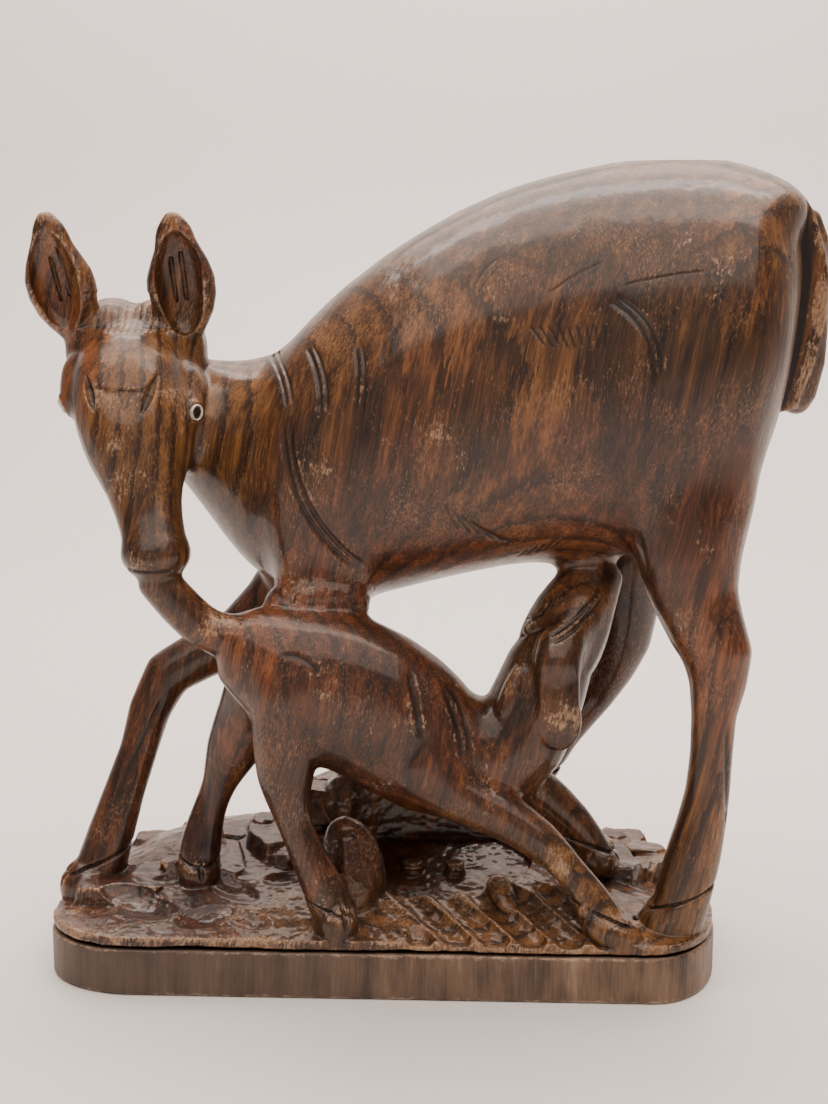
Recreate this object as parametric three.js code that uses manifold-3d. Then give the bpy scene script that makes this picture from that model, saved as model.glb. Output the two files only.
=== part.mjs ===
// A carved wooden doe with her nursing fawn, on a rocky ground over a plinth.
//
// Millimetres, +Z up. The origin is the centre of the plinth's underside. The doe stands along X with her
// head at -X and her rump at +X; the front of the carving, where the fawn stands, is -Y.
//
// The carving is one block of wood. Here it is split into its carved members at the carver's own lines, and
// each member is trimmed by its neighbour so that a thin gap is left between them.

import * as THREE from 'three';
import { mergeVertices } from 'three/addons/utils/BufferGeometryUtils.js';
import Module from 'manifold-3d';

const wasm = await Module();
wasm.setup();

// ---------------------------------------------------------------- driving dimensions

const GAP = 0.3; // left between two members that touch

const PLINTH = {
  length: 330,
  width: 150,
  height: 24,
  bevel: 1.5,
  corner: { wide: [46, 38], tight: [34, 54] }, // how far each rounded corner runs along X and Y
};
const GROUND = {
  inset: 3, // in from the plinth's edge
  collar: 4, // the upright rim's height
  skirt: 8, // the lowest ground above the plinth
  bank: 0.22, // the share of the way in over which the bank rises from the collar
  levels: 11,
  outlinePoints: 48,
};
const DOE = {
  cannon: 10.5, // half thickness of a cannon bone, which a leg's girths are shares of
  headDepth: 28,
  headWidth: 34,
  ear: { depth: 17.5, width: 9.5 }, // the leaf's breadth, and its thickness across
  tail: { depth: 8, width: 15 },
};
const FAWN = {
  cannon: 8.5,
  body: { depth: 37, width: 28 },
  neck: { depth: 24, width: 21 },
  head: { depth: 21, width: 18 },
  tail: 10.5,
};
const EYE = { boss: 9.5, bossHeight: 12, ringOuter: 3.8, ringInner: 2.7, proud: 0.8, sunk: 1.2, pupil: 2.4 };

const SIDES = { body: 28, limb: 12, small: 12 };

// ---------------------------------------------------------------- materials

const WOOD = new THREE.Color(0x4a2c20);
const PALE_WOOD = new THREE.Color(0x8a6f58);
const BONE = new THREE.Color(0xd8cbb0);
const HORN = new THREE.Color(0x15100d);

function carvedWood() {
  return new THREE.MeshStandardMaterial({ color: WOOD, roughness: 0.38, metalness: 0 });
}

function plinthWood() {
  return new THREE.MeshStandardMaterial({ color: PALE_WOOD, roughness: 0.55, metalness: 0 });
}

function boneInlay() {
  return new THREE.MeshStandardMaterial({ color: BONE, roughness: 0.45, metalness: 0 });
}

function darkInlay() {
  return new THREE.MeshStandardMaterial({ color: HORN, roughness: 0.15, metalness: 0 });
}

// ---------------------------------------------------------------- solids

// A closed solid through a stack of rings, each a list of points, with a point at each end.
function ringsToGeometry(rings, firstPole, lastPole) {
  const sides = rings[0].length;
  const positions = rings.flat().flatMap((p) => [p.x, p.y, p.z]);
  positions.push(firstPole.x, firstPole.y, firstPole.z, lastPole.x, lastPole.y, lastPole.z);
  const first = rings.length * sides;
  const last = first + 1;
  const top = (rings.length - 1) * sides;
  const index = [];
  for (let j = 0; j < sides; j += 1) {
    const k = (j + 1) % sides;
    index.push(first, k, j);
    index.push(last, top + j, top + k);
    for (let i = 0; i < rings.length - 1; i += 1) {
      const a = i * sides;
      const b = a + sides;
      index.push(a + j, a + k, b + k);
      index.push(a + j, b + k, b + j);
    }
  }
  const geometry = new THREE.BufferGeometry();
  geometry.setAttribute('position', new THREE.Float32BufferAttribute(positions, 3));
  geometry.setIndex(index);
  return geometry;
}

// The signed volume, which is positive when the faces point out.
function signedVolume(geometry) {
  const at = geometry.getAttribute('position');
  const index = geometry.getIndex();
  const [a, b, c] = [new THREE.Vector3(), new THREE.Vector3(), new THREE.Vector3()];
  let volume = 0;
  for (let i = 0; i < index.count; i += 3) {
    a.fromBufferAttribute(at, index.getX(i));
    b.fromBufferAttribute(at, index.getX(i + 1));
    c.fromBufferAttribute(at, index.getX(i + 2));
    volume += a.dot(b.cross(c)) / 6;
  }
  return volume;
}

function toManifold(geometry) {
  const bare = geometry.clone();
  bare.deleteAttribute('normal');
  bare.deleteAttribute('uv');
  const merged = mergeVertices(bare, 1e-4);
  const triVerts = Uint32Array.from(merged.getIndex().array);
  if (signedVolume(merged) < 0) {
    triVerts.reverse();
  }
  const vertProperties = Float32Array.from(merged.getAttribute('position').array);
  return new wasm.Manifold(new wasm.Mesh({ numProp: 3, vertProperties, triVerts }));
}

function toGeometry(manifold) {
  const mesh = manifold.getMesh();
  const geometry = new THREE.BufferGeometry();
  geometry.setAttribute('position', new THREE.BufferAttribute(Float32Array.from(mesh.vertProperties), 3));
  geometry.setIndex(new THREE.BufferAttribute(Uint32Array.from(mesh.triVerts), 1));
  geometry.computeVertexNormals();
  return geometry;
}

// A carved member: rounded sections along a smooth spine. The girths are spaced evenly along it, each
// [thick, wide]: the half size in the upright plane of the spine, and the half size across it.
//   upright  the sections stay in planes across X, for the doe's barrel and neck
//   square   0 for a round section, up to 1 for one with flatter sides
//   dome     the rounded ends' length as a share of the end section's thickness
function member(points, girths, options = {}) {
  const { sides = SIDES.limb, upright = false, square = 0, dome = 0.6, step = 2 } = options;
  const spine = new THREE.CatmullRomCurve3(
    points.map((point) => new THREE.Vector3(...point)),
    false,
    'catmullrom',
  );
  const sizes = new THREE.CatmullRomCurve3(
    girths.map(([thick, wide]) => new THREE.Vector3(thick, wide, 0)),
    false,
    'catmullrom',
  );

  function ring(centre, tangent, thick, wide) {
    const along = upright ? new THREE.Vector3(1, 0, 0) : tangent;
    const across = new THREE.Vector3(0, 1, 0);
    across.addScaledVector(along, -across.dot(along)).normalize();
    const up = new THREE.Vector3().crossVectors(along, across);
    const points = [];
    for (let j = 0; j < sides; j += 1) {
      const turn = (2 * Math.PI * j) / sides;
      const c = Math.cos(turn);
      const s = Math.sin(turn);
      const flat = 1 + square * 0.25 * (2 * c * s) ** 2;
      const point = centre.clone();
      point.addScaledVector(up, thick * flat * c).addScaledVector(across, wide * flat * s);
      points.push(point);
    }
    return points;
  }

  return function build(grow = 0) {
    const rings = [];
    const count = (Math.max(points.length, girths.length) - 1) * step;
    const domeRings = 3;
    const ends = [0, 1].map((t) => {
      const centre = spine.getPoint(t);
      const tangent = upright ? new THREE.Vector3(1, 0, 0) : spine.getTangent(t);
      if (upright && points[0][0] > points.at(-1)[0]) tangent.negate();
      const size = sizes.getPoint(t);
      const length = dome * Math.min(size.x, size.y) + grow;
      return { centre, tangent, size, length };
    });

    function domeRing(end, side, share) {
      const angle = (share * Math.PI) / 2;
      const centre = end.centre.clone().addScaledVector(end.tangent, side * end.length * Math.sin(angle));
      const shrink = Math.cos(angle);
      return ring(centre, end.tangent, (end.size.x + grow) * shrink, (end.size.y + grow) * shrink);
    }

    for (let i = domeRings - 1; i > 0; i -= 1) {
      rings.push(domeRing(ends[0], -1, i / domeRings));
    }
    for (let i = 0; i <= count; i += 1) {
      const t = i / count;
      const size = sizes.getPoint(t);
      rings.push(ring(spine.getPoint(t), spine.getTangent(t), size.x + grow, size.y + grow));
    }
    for (let i = 1; i < domeRings; i += 1) {
      rings.push(domeRing(ends[1], 1, i / domeRings));
    }
    const poles = ends.map((end, i) =>
      end.centre.clone().addScaledVector(end.tangent, (i ? 1 : -1) * end.length),
    );
    return toManifold(ringsToGeometry(rings, poles[0], poles[1]));
  };
}

// Girths as shares of one depth, in the upright plane of the spine, and one width, across it.
function girthsOf({ depth, width }, shares) {
  return shares.map((share) => [depth * share, width * share]);
}

// A trunk between an upper and a lower line. A section is [x, y, upper, lower, half width].
function trunk(sections, options) {
  const points = sections.map(([x, y, upper, lower]) => [x, y, (upper + lower) / 2]);
  const girths = sections.map(([, , upper, lower, wide]) => [(upper - lower) / 2, wide]);
  return member(points, girths, { upright: true, ...options });
}

// A leg through its joints. Its girth at each joint is a share of the cannon bone's, and it is a little
// narrower across than along.
const LEG_FLATNESS = 0.9;
const HIND_GIRTHS = {
  thigh: 2.7,
  stifle: 2.7,
  gaskin: 1.95,
  hock: 1.6,
  cannon: 1.05,
  shank: 1.05,
  fetlock: 1.3,
  hoof: 1.3,
};
const FORE_GIRTHS = {
  shoulder: 2.8,
  elbow: 1.8,
  forearm: 1.4,
  knee: 1.2,
  cannon: 0.95,
  fetlock: 1.15,
  hoof: 1.35,
};

function leg(shares, bone, joints) {
  const girths = Object.keys(joints).map((joint) => {
    const thick = bone * shares[joint];
    return [thick, thick * LEG_FLATNESS];
  });
  return member(Object.values(joints), girths);
}

// ---------------------------------------------------------------- plinth

// The plinth's outline, seen from above: a long slab with rounded, slightly uneven corners.
function plinthOutline(inset) {
  const left = -PLINTH.length / 2 + inset;
  const right = PLINTH.length / 2 - inset;
  const front = -PLINTH.width / 2 + inset;
  const back = PLINTH.width / 2 - inset;
  const wide = PLINTH.corner.wide.map((reach) => reach - inset);
  const tight = PLINTH.corner.tight.map((reach) => reach - inset);
  const shape = new THREE.Shape();
  shape.moveTo(left + wide[0], front);
  shape.lineTo(right - tight[0], front);
  shape.absellipse(right - tight[0], front + tight[1], ...tight, -Math.PI / 2, 0);
  shape.lineTo(right, back - wide[1]);
  shape.absellipse(right - wide[0], back - wide[1], ...wide, 0, Math.PI / 2);
  shape.lineTo(left + wide[0], back);
  shape.absellipse(left + wide[0], back - wide[1], ...wide, Math.PI / 2, Math.PI);
  shape.lineTo(left, front + wide[1]);
  shape.absellipse(left + wide[0], front + wide[1], ...wide, Math.PI, 1.5 * Math.PI);
  return shape;
}

function plinth() {
  const { height, bevel } = PLINTH;
  const geometry = new THREE.ExtrudeGeometry(plinthOutline(0), {
    depth: height - 2 * bevel,
    bevelThickness: bevel,
    bevelSize: bevel,
    bevelOffset: -bevel,
    bevelSegments: 2,
    curveSegments: 8,
  });
  geometry.translate(0, 0, bevel);
  return toManifold(geometry);
}

// ---------------------------------------------------------------- ground

// A soft rise of the ground: height at the middle, falling away over its two half widths.
const RISES = [
  { x: -23, y: 30, height: 26, wide: 90, deep: 42 },
  { x: 67, y: 22, height: 19, wide: 48, deep: 45 },
  { x: -98, y: 8, height: 10, wide: 45, deep: 50 },
  { x: 17, y: -30, height: 9, wide: 90, deep: 26 },
  { x: 107, y: -42, height: 6, wide: 38, deep: 26 },
];

function groundHeight(x, y) {
  const base = PLINTH.height + GROUND.skirt;
  return RISES.reduce((z, rise) => {
    const far = ((x - rise.x) / rise.wide) ** 2 + ((y - rise.y) / rise.deep) ** 2;
    return z + rise.height * Math.exp(-far);
  }, base);
}

// The ground: a mound on the plinth's outline, with a low upright collar where it meets the plinth. A grown
// copy, which trims what stands on the ground, reaches down to the table.
function ground(grow = 0) {
  const { inset, bank, levels, outlinePoints } = GROUND;
  const bottom = grow > 0 ? 0 : PLINTH.height + GAP;
  const rim = PLINTH.height + GROUND.collar;
  const outline = plinthOutline(inset).getSpacedPoints(outlinePoints).slice(0, -1);
  const rings = [outline.map((p) => new THREE.Vector3(p.x, p.y, bottom))];
  for (let i = 0; i < levels; i += 1) {
    const inward = i / levels;
    const risen = Math.min(1, inward / bank) ** 0.7;
    rings.push(
      outline.map((p) => {
        const x = p.x * (1 - inward);
        const y = p.y * (1 - inward);
        return new THREE.Vector3(x, y, rim + (groundHeight(x, y) - rim) * risen + grow);
      }),
    );
  }
  const middle = new THREE.Vector3(0, 0, groundHeight(0, 0) + grow);
  return toManifold(ringsToGeometry(rings, new THREE.Vector3(0, 0, bottom), middle));
}

// The heap of rock behind the fawn, which the doe's left foreleg stands on.
const rockPile = member(
  [
    [-38, 26, 58],
    [0, 20, 67],
    [44, 20, 56],
  ],
  girthsOf({ depth: 25, width: 28 }, [0.4, 0.9, 1, 0.8, 0.4]),
  { square: 0.8 },
);

// The upright boulder beside the fawn's right hind leg.
const boulder = member(
  [
    [-17, -42, 30],
    [-16, -40, 66],
  ],
  girthsOf({ depth: 15, width: 16 }, [1, 0.95, 0.75]),
  { square: 0.6, dome: 0.8 },
);

// ---------------------------------------------------------------- doe

// The barrel, from the rump to the base of the neck.
const doeBody = trunk(
  [
    [208, 0, 357, 331, 14],
    [204, 0, 374, 300, 34],
    [193, 0, 386, 262, 55],
    [170, 0, 394, 230, 68],
    [140, 0, 396, 212, 73],
    [100, 0, 393, 205, 70],
    [60, 0, 383, 200, 65],
    [20, 0, 364, 191, 60],
    [-20, 0, 336, 182, 53],
    [-49, 0, 307, 184, 46],
  ],
  { sides: SIDES.body, square: 0.15, dome: 0.2 },
);

// The neck runs to the left and holds the head turned to the front.
const doeNeck = trunk(
  [
    [-35, 0, 310, 188, 44],
    [-50, 0, 307, 185, 45],
    [-70, 4, 300, 199, 36],
    [-90, 8, 301, 224, 28],
    [-108, 11, 304, 246, 23],
    [-119, 11, 303, 257, 19],
  ],
  { sides: 20 },
);

// The head, from the poll down to the muzzle, which rests on the fawn's tail.
const doeHead = member(
  [
    [-124, 10, 311],
    [-121, -20, 280],
    [-113, -42, 245],
    [-105, -55, 213],
  ],
  [
    [0.68, 0.56],
    [0.92, 0.86],
    [1, 1],
    [0.97, 0.94],
    [0.83, 0.73],
    [0.62, 0.5],
    [0.53, 0.43],
    [0.52, 0.48],
  ].map(([deep, wide]) => [DOE.headDepth * deep, DOE.headWidth * wide]),
  { sides: 20, square: 0.3, dome: 0.7 },
);

// The tail lies along the rump and its tip stands free.
const doeTail = member(
  [
    [197, 0, 372],
    [206, 0, 345],
    [205, 0, 310],
    [197, 0, 279],
  ],
  girthsOf(DOE.tail, [0.9, 1, 0.95, 0.8, 0.65]),
  { sides: SIDES.small },
);

// Two upright leaf-shaped ears, each narrow at its root, widest past the middle and pointed.
const LEAF = [0.6, 0.62, 0.92, 0.97, 0.62, 0.22];

function doeEar(points) {
  return member(points, girthsOf(DOE.ear, LEAF), { sides: SIDES.small });
}

const doeEarRight = doeEar([
  [-141, -6, 303],
  [-155, -17, 335],
  [-161, -23, 371],
]);

const doeEarLeft = doeEar([
  [-102, -4, 300],
  [-97, -17, 334],
  [-100, -23, 371],
]);

// Four legs. The right foreleg strides forward, and the left one stands on the rock pile behind the fawn.
const doeForelegLeft = leg(FORE_GIRTHS, DOE.cannon, {
  shoulder: [-29, -20, 215],
  elbow: [-31, -6, 188],
  forearm: [-27, 5, 162],
  knee: [-19, 11, 134],
  cannon: [-11, 13, 112],
  fetlock: [-5, 13, 95],
  hoof: [-1, 13, 80],
});

const doeForelegRight = leg(FORE_GIRTHS, DOE.cannon, {
  shoulder: [-33, 28, 228],
  elbow: [-46, 24, 192],
  forearm: [-76, 18, 158],
  knee: [-114, 12, 138],
  cannon: [-128, 2, 100],
  fetlock: [-141, -8, 60],
  hoof: [-149, -12, 32],
});

const doeHindlegLeft = leg(HIND_GIRTHS, DOE.cannon, {
  thigh: [157, -30, 268],
  stifle: [146, -41, 228],
  gaskin: [149, -47, 192],
  hock: [160, -50, 165],
  cannon: [159, -50, 136],
  shank: [157, -50, 98],
  fetlock: [151, -50, 66],
  hoof: [144, -52, 36],
});

const doeHindlegRight = leg(HIND_GIRTHS, DOE.cannon, {
  thigh: [133, 30, 250],
  stifle: [126, 32, 222],
  gaskin: [122, 38, 184],
  hock: [120, 42, 152],
  cannon: [108, 45, 122],
  shank: [90, 45, 100],
  fetlock: [76, 44, 82],
  hoof: [65, 43, 66],
});

// ---------------------------------------------------------------- fawn

// The fawn kneels in with its rump high at the left and its chest low at the right.
const fawnBody = member(
  [
    [-66, -49, 167],
    [-36, -47, 152],
    [-4, -42, 137],
    [26, -38, 115],
    [52, -36, 108],
  ],
  girthsOf(FAWN.body, [0.57, 0.96, 1.02, 0.92, 0.75]),
  { sides: 20, step: 3 },
);

const fawnNeck = member(
  [
    [45, -37, 104],
    [67, -34, 120],
    [82, -29, 156],
  ],
  girthsOf(FAWN.neck, [1, 1.02, 0.88]),
  { step: 3 },
);

// The head reaches up to the doe's groin.
const fawnHead = member(
  [
    [81, -30, 152],
    [93, -22, 178],
    [106, -13, 200],
  ],
  girthsOf(FAWN.head, [0.94, 1, 0.95, 0.8, 0.63]),
  { dome: 0.5 },
);

// The right ear hangs as a long lobe; the left one shows as a small one behind the cheek.
const fawnEarRight = member(
  [
    [85, -44, 172],
    [85, -51, 150],
    [86, -53, 131],
  ],
  girthsOf({ depth: 10, width: 5 }, [0.9, 1.05, 0.95]),
  { dome: 0.9, step: 3 },
);

const fawnEarLeft = member(
  [
    [68, -43, 155],
    [60, -47, 136],
  ],
  girthsOf({ depth: 5.5, width: 5 }, [0.9, 1.1, 1]),
  { sides: 10, dome: 0.9 },
);

// The tail is raised to the doe's muzzle.
const fawnTail = member(
  [
    [-65, -50, 170],
    [-85, -53, 178],
    [-106, -58, 202],
  ],
  girthsOf({ depth: FAWN.tail, width: FAWN.tail }, [1.5, 1.08, 1, 1, 0.95]),
);

const fawnHindlegRight = leg(HIND_GIRTHS, FAWN.cannon, {
  thigh: [-41, -53, 155],
  stifle: [-42, -55, 143],
  gaskin: [-45, -57, 124],
  hock: [-45, -58, 104],
  cannon: [-42, -59, 86],
  shank: [-35, -60, 68],
  fetlock: [-26, -60, 48],
  hoof: [-20, -60, 32],
});

const fawnHindlegLeft = leg(HIND_GIRTHS, FAWN.cannon, {
  thigh: [-50, -33, 150],
  stifle: [-56, -30, 142],
  gaskin: [-67, -25, 126],
  hock: [-76, -22, 107],
  cannon: [-83, -21, 90],
  shank: [-89, -21, 74],
  fetlock: [-93, -23, 56],
  hoof: [-94, -25, 40],
});

const fawnForelegRight = leg(FORE_GIRTHS, FAWN.cannon, {
  shoulder: [20, -49, 112],
  elbow: [38, -53, 97],
  forearm: [58, -55, 87],
  knee: [77, -57, 75],
  cannon: [91, -58, 61],
  fetlock: [102, -60, 46],
  hoof: [108, -61, 34],
});

const fawnForelegLeft = leg(FORE_GIRTHS, FAWN.cannon, {
  shoulder: [45, -28, 106],
  elbow: [62, -23, 97],
  forearm: [80, -20, 85],
  knee: [95, -19, 71],
  cannon: [107, -18, 56],
});

// The rough stock left between the doe's chest and the fawn's back.
const carverBridge = member(
  [
    [-51, -38, 184],
    [-31, -36, 186],
    [-11, -34, 188],
  ],
  girthsOf({ depth: 13, width: 14 }, [0.7, 1, 0.7]),
  { square: 1 },
);

// ---------------------------------------------------------------- eyes

// A turned inlay: its profile spun about the eye's axis.
function turned(profile) {
  return new THREE.LatheGeometry(
    profile.map(([radius, height]) => new THREE.Vector2(radius, height)),
    16,
  );
}

function eyeRing() {
  const { ringInner, ringOuter, proud, sunk } = EYE;
  const middle = (ringInner + ringOuter) / 2;
  return turned([
    [ringInner, -sunk],
    [ringOuter, -sunk],
    [ringOuter, proud * 0.3],
    [middle, proud],
    [ringInner, proud * 0.3],
    [ringInner, -sunk],
  ]);
}

function eyePupil() {
  const { pupil, proud, sunk } = EYE;
  return turned([
    [0, -sunk],
    [pupil, -sunk],
    [pupil, 0],
    [pupil * 0.7, proud * 0.6],
    [0, proud * 0.9],
  ]);
}

function eyeSocket() {
  const radius = EYE.ringOuter + GAP;
  const floor = -EYE.sunk - GAP;
  const mouth = 12;
  return turned([
    [0, floor],
    [radius, floor],
    [radius, mouth],
    [0, mouth],
  ]);
}

// Each eye stands on a rounded boss on the side of the head. The left one looks out and forward, the right one
// out and down.
const EYES = {
  left: { boss: [-96.5, -26, 278], looks: [0.82, -0.57, -0.05] },
  right: { boss: [-146.5, -24, 284], looks: [-0.88, -0.15, -0.45] },
};

function eyeBoss({ boss }) {
  const geometry = new THREE.SphereGeometry(EYE.boss, 14, 8);
  geometry.scale(1, 1, EYE.bossHeight / EYE.boss);
  geometry.translate(...boss);
  return toManifold(geometry);
}

function inEye(geometry, { boss, looks }) {
  const direction = new THREE.Vector3(...looks).normalize();
  const turn = new THREE.Quaternion().setFromUnitVectors(new THREE.Vector3(0, 1, 0), direction);
  const at = new THREE.Vector3(...boss).addScaledVector(direction, EYE.boss);
  geometry.applyQuaternion(turn);
  geometry.translate(at.x, at.y, at.z);
  return toManifold(geometry);
}

// The head with its two eye bosses, and the sockets that hold the inlays.
function headWithEyes(grow = 0) {
  let head = doeHead(grow);
  for (const eye of Object.values(EYES)) {
    head = head.add(eyeBoss(eye)).subtract(inEye(eyeSocket(), eye));
  }
  return head;
}

// ---------------------------------------------------------------- assembly

// The members, each with those that it is trimmed by.
const CARVED = {
  doe_body: [doeBody, []],
  doe_head: [headWithEyes, []],
  doe_neck: [doeNeck, [doeBody, headWithEyes]],
  doe_tail: [doeTail, [doeBody]],
  doe_ear_left: [doeEarLeft, [doeHead, doeNeck]],
  doe_ear_right: [doeEarRight, [doeHead, doeNeck]],
  rock_pile: [rockPile, [ground]],
  boulder: [boulder, [ground]],
  doe_foreleg_left: [doeForelegLeft, [doeBody, doeNeck, rockPile, ground]],
  doe_foreleg_right: [doeForelegRight, [doeBody, doeNeck, ground]],
  doe_hindleg_left: [doeHindlegLeft, [doeBody, ground]],
  doe_hindleg_right: [doeHindlegRight, [doeBody, ground]],
  fawn_body: [fawnBody, []],
  fawn_neck: [fawnNeck, [fawnBody]],
  fawn_head: [fawnHead, [fawnNeck, doeBody]],
  fawn_tail: [fawnTail, [fawnBody, doeHead]],
  fawn_ear_left: [fawnEarLeft, [fawnHead, fawnNeck]],
  fawn_ear_right: [fawnEarRight, [fawnHead, fawnNeck]],
  fawn_hindleg_left: [fawnHindlegLeft, [fawnBody, ground]],
  fawn_hindleg_right: [fawnHindlegRight, [fawnBody, boulder, ground]],
  fawn_foreleg_left: [fawnForelegLeft, [fawnBody, fawnNeck, doeHindlegRight, ground]],
  fawn_foreleg_right: [fawnForelegRight, [fawnBody, fawnNeck, ground]],
  carver_bridge: [carverBridge, [doeBody, fawnBody, doeForelegLeft]],
};

const statue = new THREE.Group();

function addPiece(name, manifold, material) {
  const mesh = new THREE.Mesh(toGeometry(manifold), material);
  mesh.name = name;
  statue.add(mesh);
}

addPiece('plinth', plinth(), plinthWood());
addPiece('ground', ground(), carvedWood());

for (const [name, [build, trimmers]] of Object.entries(CARVED)) {
  let solid = build();
  for (const trimmer of trimmers) {
    solid = solid.subtract(trimmer(GAP));
  }
  addPiece(name, solid, carvedWood());
}

for (const [side, eye] of Object.entries(EYES)) {
  addPiece(`doe_eye_ring_${side}`, inEye(eyeRing(), eye), boneInlay());
  addPiece(`doe_pupil_${side}`, inEye(eyePupil(), eye), darkInlay());
}

export default statue;
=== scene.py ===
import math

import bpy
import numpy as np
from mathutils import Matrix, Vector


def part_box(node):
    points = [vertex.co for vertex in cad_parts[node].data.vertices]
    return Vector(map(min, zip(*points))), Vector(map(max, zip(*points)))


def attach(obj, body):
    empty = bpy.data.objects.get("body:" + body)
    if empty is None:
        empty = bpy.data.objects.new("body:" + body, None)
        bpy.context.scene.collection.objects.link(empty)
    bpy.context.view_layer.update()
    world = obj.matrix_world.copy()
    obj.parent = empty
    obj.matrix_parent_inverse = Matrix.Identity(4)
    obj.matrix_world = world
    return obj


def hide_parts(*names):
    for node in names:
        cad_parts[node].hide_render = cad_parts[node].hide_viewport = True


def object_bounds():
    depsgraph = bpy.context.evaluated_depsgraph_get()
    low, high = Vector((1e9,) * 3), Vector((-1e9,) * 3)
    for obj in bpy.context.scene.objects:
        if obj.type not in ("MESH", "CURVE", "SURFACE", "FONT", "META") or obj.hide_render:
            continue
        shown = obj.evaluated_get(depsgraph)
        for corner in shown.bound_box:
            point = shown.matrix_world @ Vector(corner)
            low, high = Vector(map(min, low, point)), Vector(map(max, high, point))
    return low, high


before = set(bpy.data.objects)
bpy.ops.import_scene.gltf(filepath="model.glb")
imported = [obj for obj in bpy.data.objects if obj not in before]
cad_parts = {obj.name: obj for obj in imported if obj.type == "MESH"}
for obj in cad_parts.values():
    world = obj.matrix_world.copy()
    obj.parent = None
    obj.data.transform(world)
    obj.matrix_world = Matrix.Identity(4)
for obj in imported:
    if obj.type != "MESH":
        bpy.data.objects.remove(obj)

# The fine surface and the looks of the carved doe with her nursing fawn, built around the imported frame.
#
# The carving is one block of wood, so its surface is sculpted as one distance field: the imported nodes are
# joined and smoothed, the carver's cuts are taken out of the joined field, and the field is meshed and
# divided again into one closed piece for each node. Lengths in the field are millimetres, and Blender's
# are metres.

import openvdb as vdb
from mathutils import Vector

CAD_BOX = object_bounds()
MM = 0.001
CAD_BOX_MM = [np.array(corner) / MM for corner in CAD_BOX]
SEED = 7
VOXEL = 0.8
BAND = 14.0  # how far from the surface the field holds true distances

SIDES = ("left", "right")
INLAYS = tuple(f"doe_{part}_{side}" for part in ("eye_ring", "pupil") for side in SIDES)
ROCKS = ("ground", "rock_pile", "boulder")
BOARD = "plinth"
CARVED = [name for name in sorted(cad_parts) if name not in INLAYS]
ANIMALS = [name for name in CARVED if name not in ROCKS and name != BOARD]
TRUNK = ("doe_body", "doe_neck")
DOE_LEGS = ("doe_hindleg_left", "doe_hindleg_right", "doe_foreleg_left", "doe_foreleg_right")
LEG_FILLET = 13.0  # where the doe's legs run into her body
EAR_NODES = tuple(f"{who}_ear_{side}" for who in ("doe", "fawn") for side in SIDES)
FINE = EAR_NODES + ("doe_tail", "doe_head", "fawn_head")


# ------------------------------------------------------------------ places, from the frame

def box_mm(node):
    low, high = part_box(node)
    return np.array(low) / MM, np.array(high) / MM


def place(node, *shares):
    """A point at these shares of a node's box, in millimetres."""
    low, high = box_mm(node)
    return low + (high - low) * np.array(shares)


def node_vertices(node):
    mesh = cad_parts[node].data
    points = np.empty(len(mesh.vertices) * 3, np.float32)
    mesh.vertices.foreach_get("co", points)
    return points.reshape(-1, 3) / MM


def node_centre(node, low_share, high_share):
    """The middle of the part of a node between two shares of its height."""
    points = node_vertices(node)
    low, high = box_mm(node)
    share = (points[:, 2] - low[2]) / (high[2] - low[2])
    return points[(share >= low_share) & (share <= high_share)].mean(0)


def unit(vector):
    vector = np.asarray(vector, float)
    return vector / np.linalg.norm(vector)


# ------------------------------------------------------------------ the distance field

def smooth_min(a, b, k):
    if k <= 0:
        return np.minimum(a, b)
    h = np.clip(0.5 + 0.5 * (b - a) / k, 0, 1)
    return b + (a - b) * h - k * h * (1 - h)


def smooth_max(a, b, k):
    return -smooth_min(-a, -b, k)


def blur_axis(field, sigma, axis):
    """Gaussian blur along one axis; sigma is in voxels."""
    reach = max(1, int(math.ceil(2.5 * sigma)))
    weights = np.exp(-0.5 * (np.arange(-reach, reach + 1) / sigma) ** 2)
    weights /= weights.sum()
    widths = [(0, 0)] * field.ndim
    widths[axis] = (reach, reach)
    padded = np.pad(field, widths, mode="edge")
    out = np.zeros_like(field)
    size = field.shape[axis]
    for shift, weight in enumerate(weights):
        cut = [slice(None)] * field.ndim
        cut[axis] = slice(shift, shift + size)
        out += field.dtype.type(weight) * padded[tuple(cut)]
    return out


def blur(field, sigma_mm, voxel):
    for axis in range(3):
        field = blur_axis(field, sigma_mm / voxel, axis)
    return field


def halve(field):
    return np.ascontiguousarray(field[::2, ::2, ::2])


def double(field, shape):
    """Linear upsampling of a halved field."""
    for axis in range(3):
        size = shape[axis]
        index = np.arange(size) / 2
        low = np.minimum(index.astype(int), field.shape[axis] - 1)
        high = np.minimum(low + 1, field.shape[axis] - 1)
        part = (index - low).astype(np.float32)
        part = part.reshape([-1 if a == axis else 1 for a in range(3)])
        field = np.take(field, low, axis) * (1 - part) + np.take(field, high, axis) * part
    return field


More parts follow.
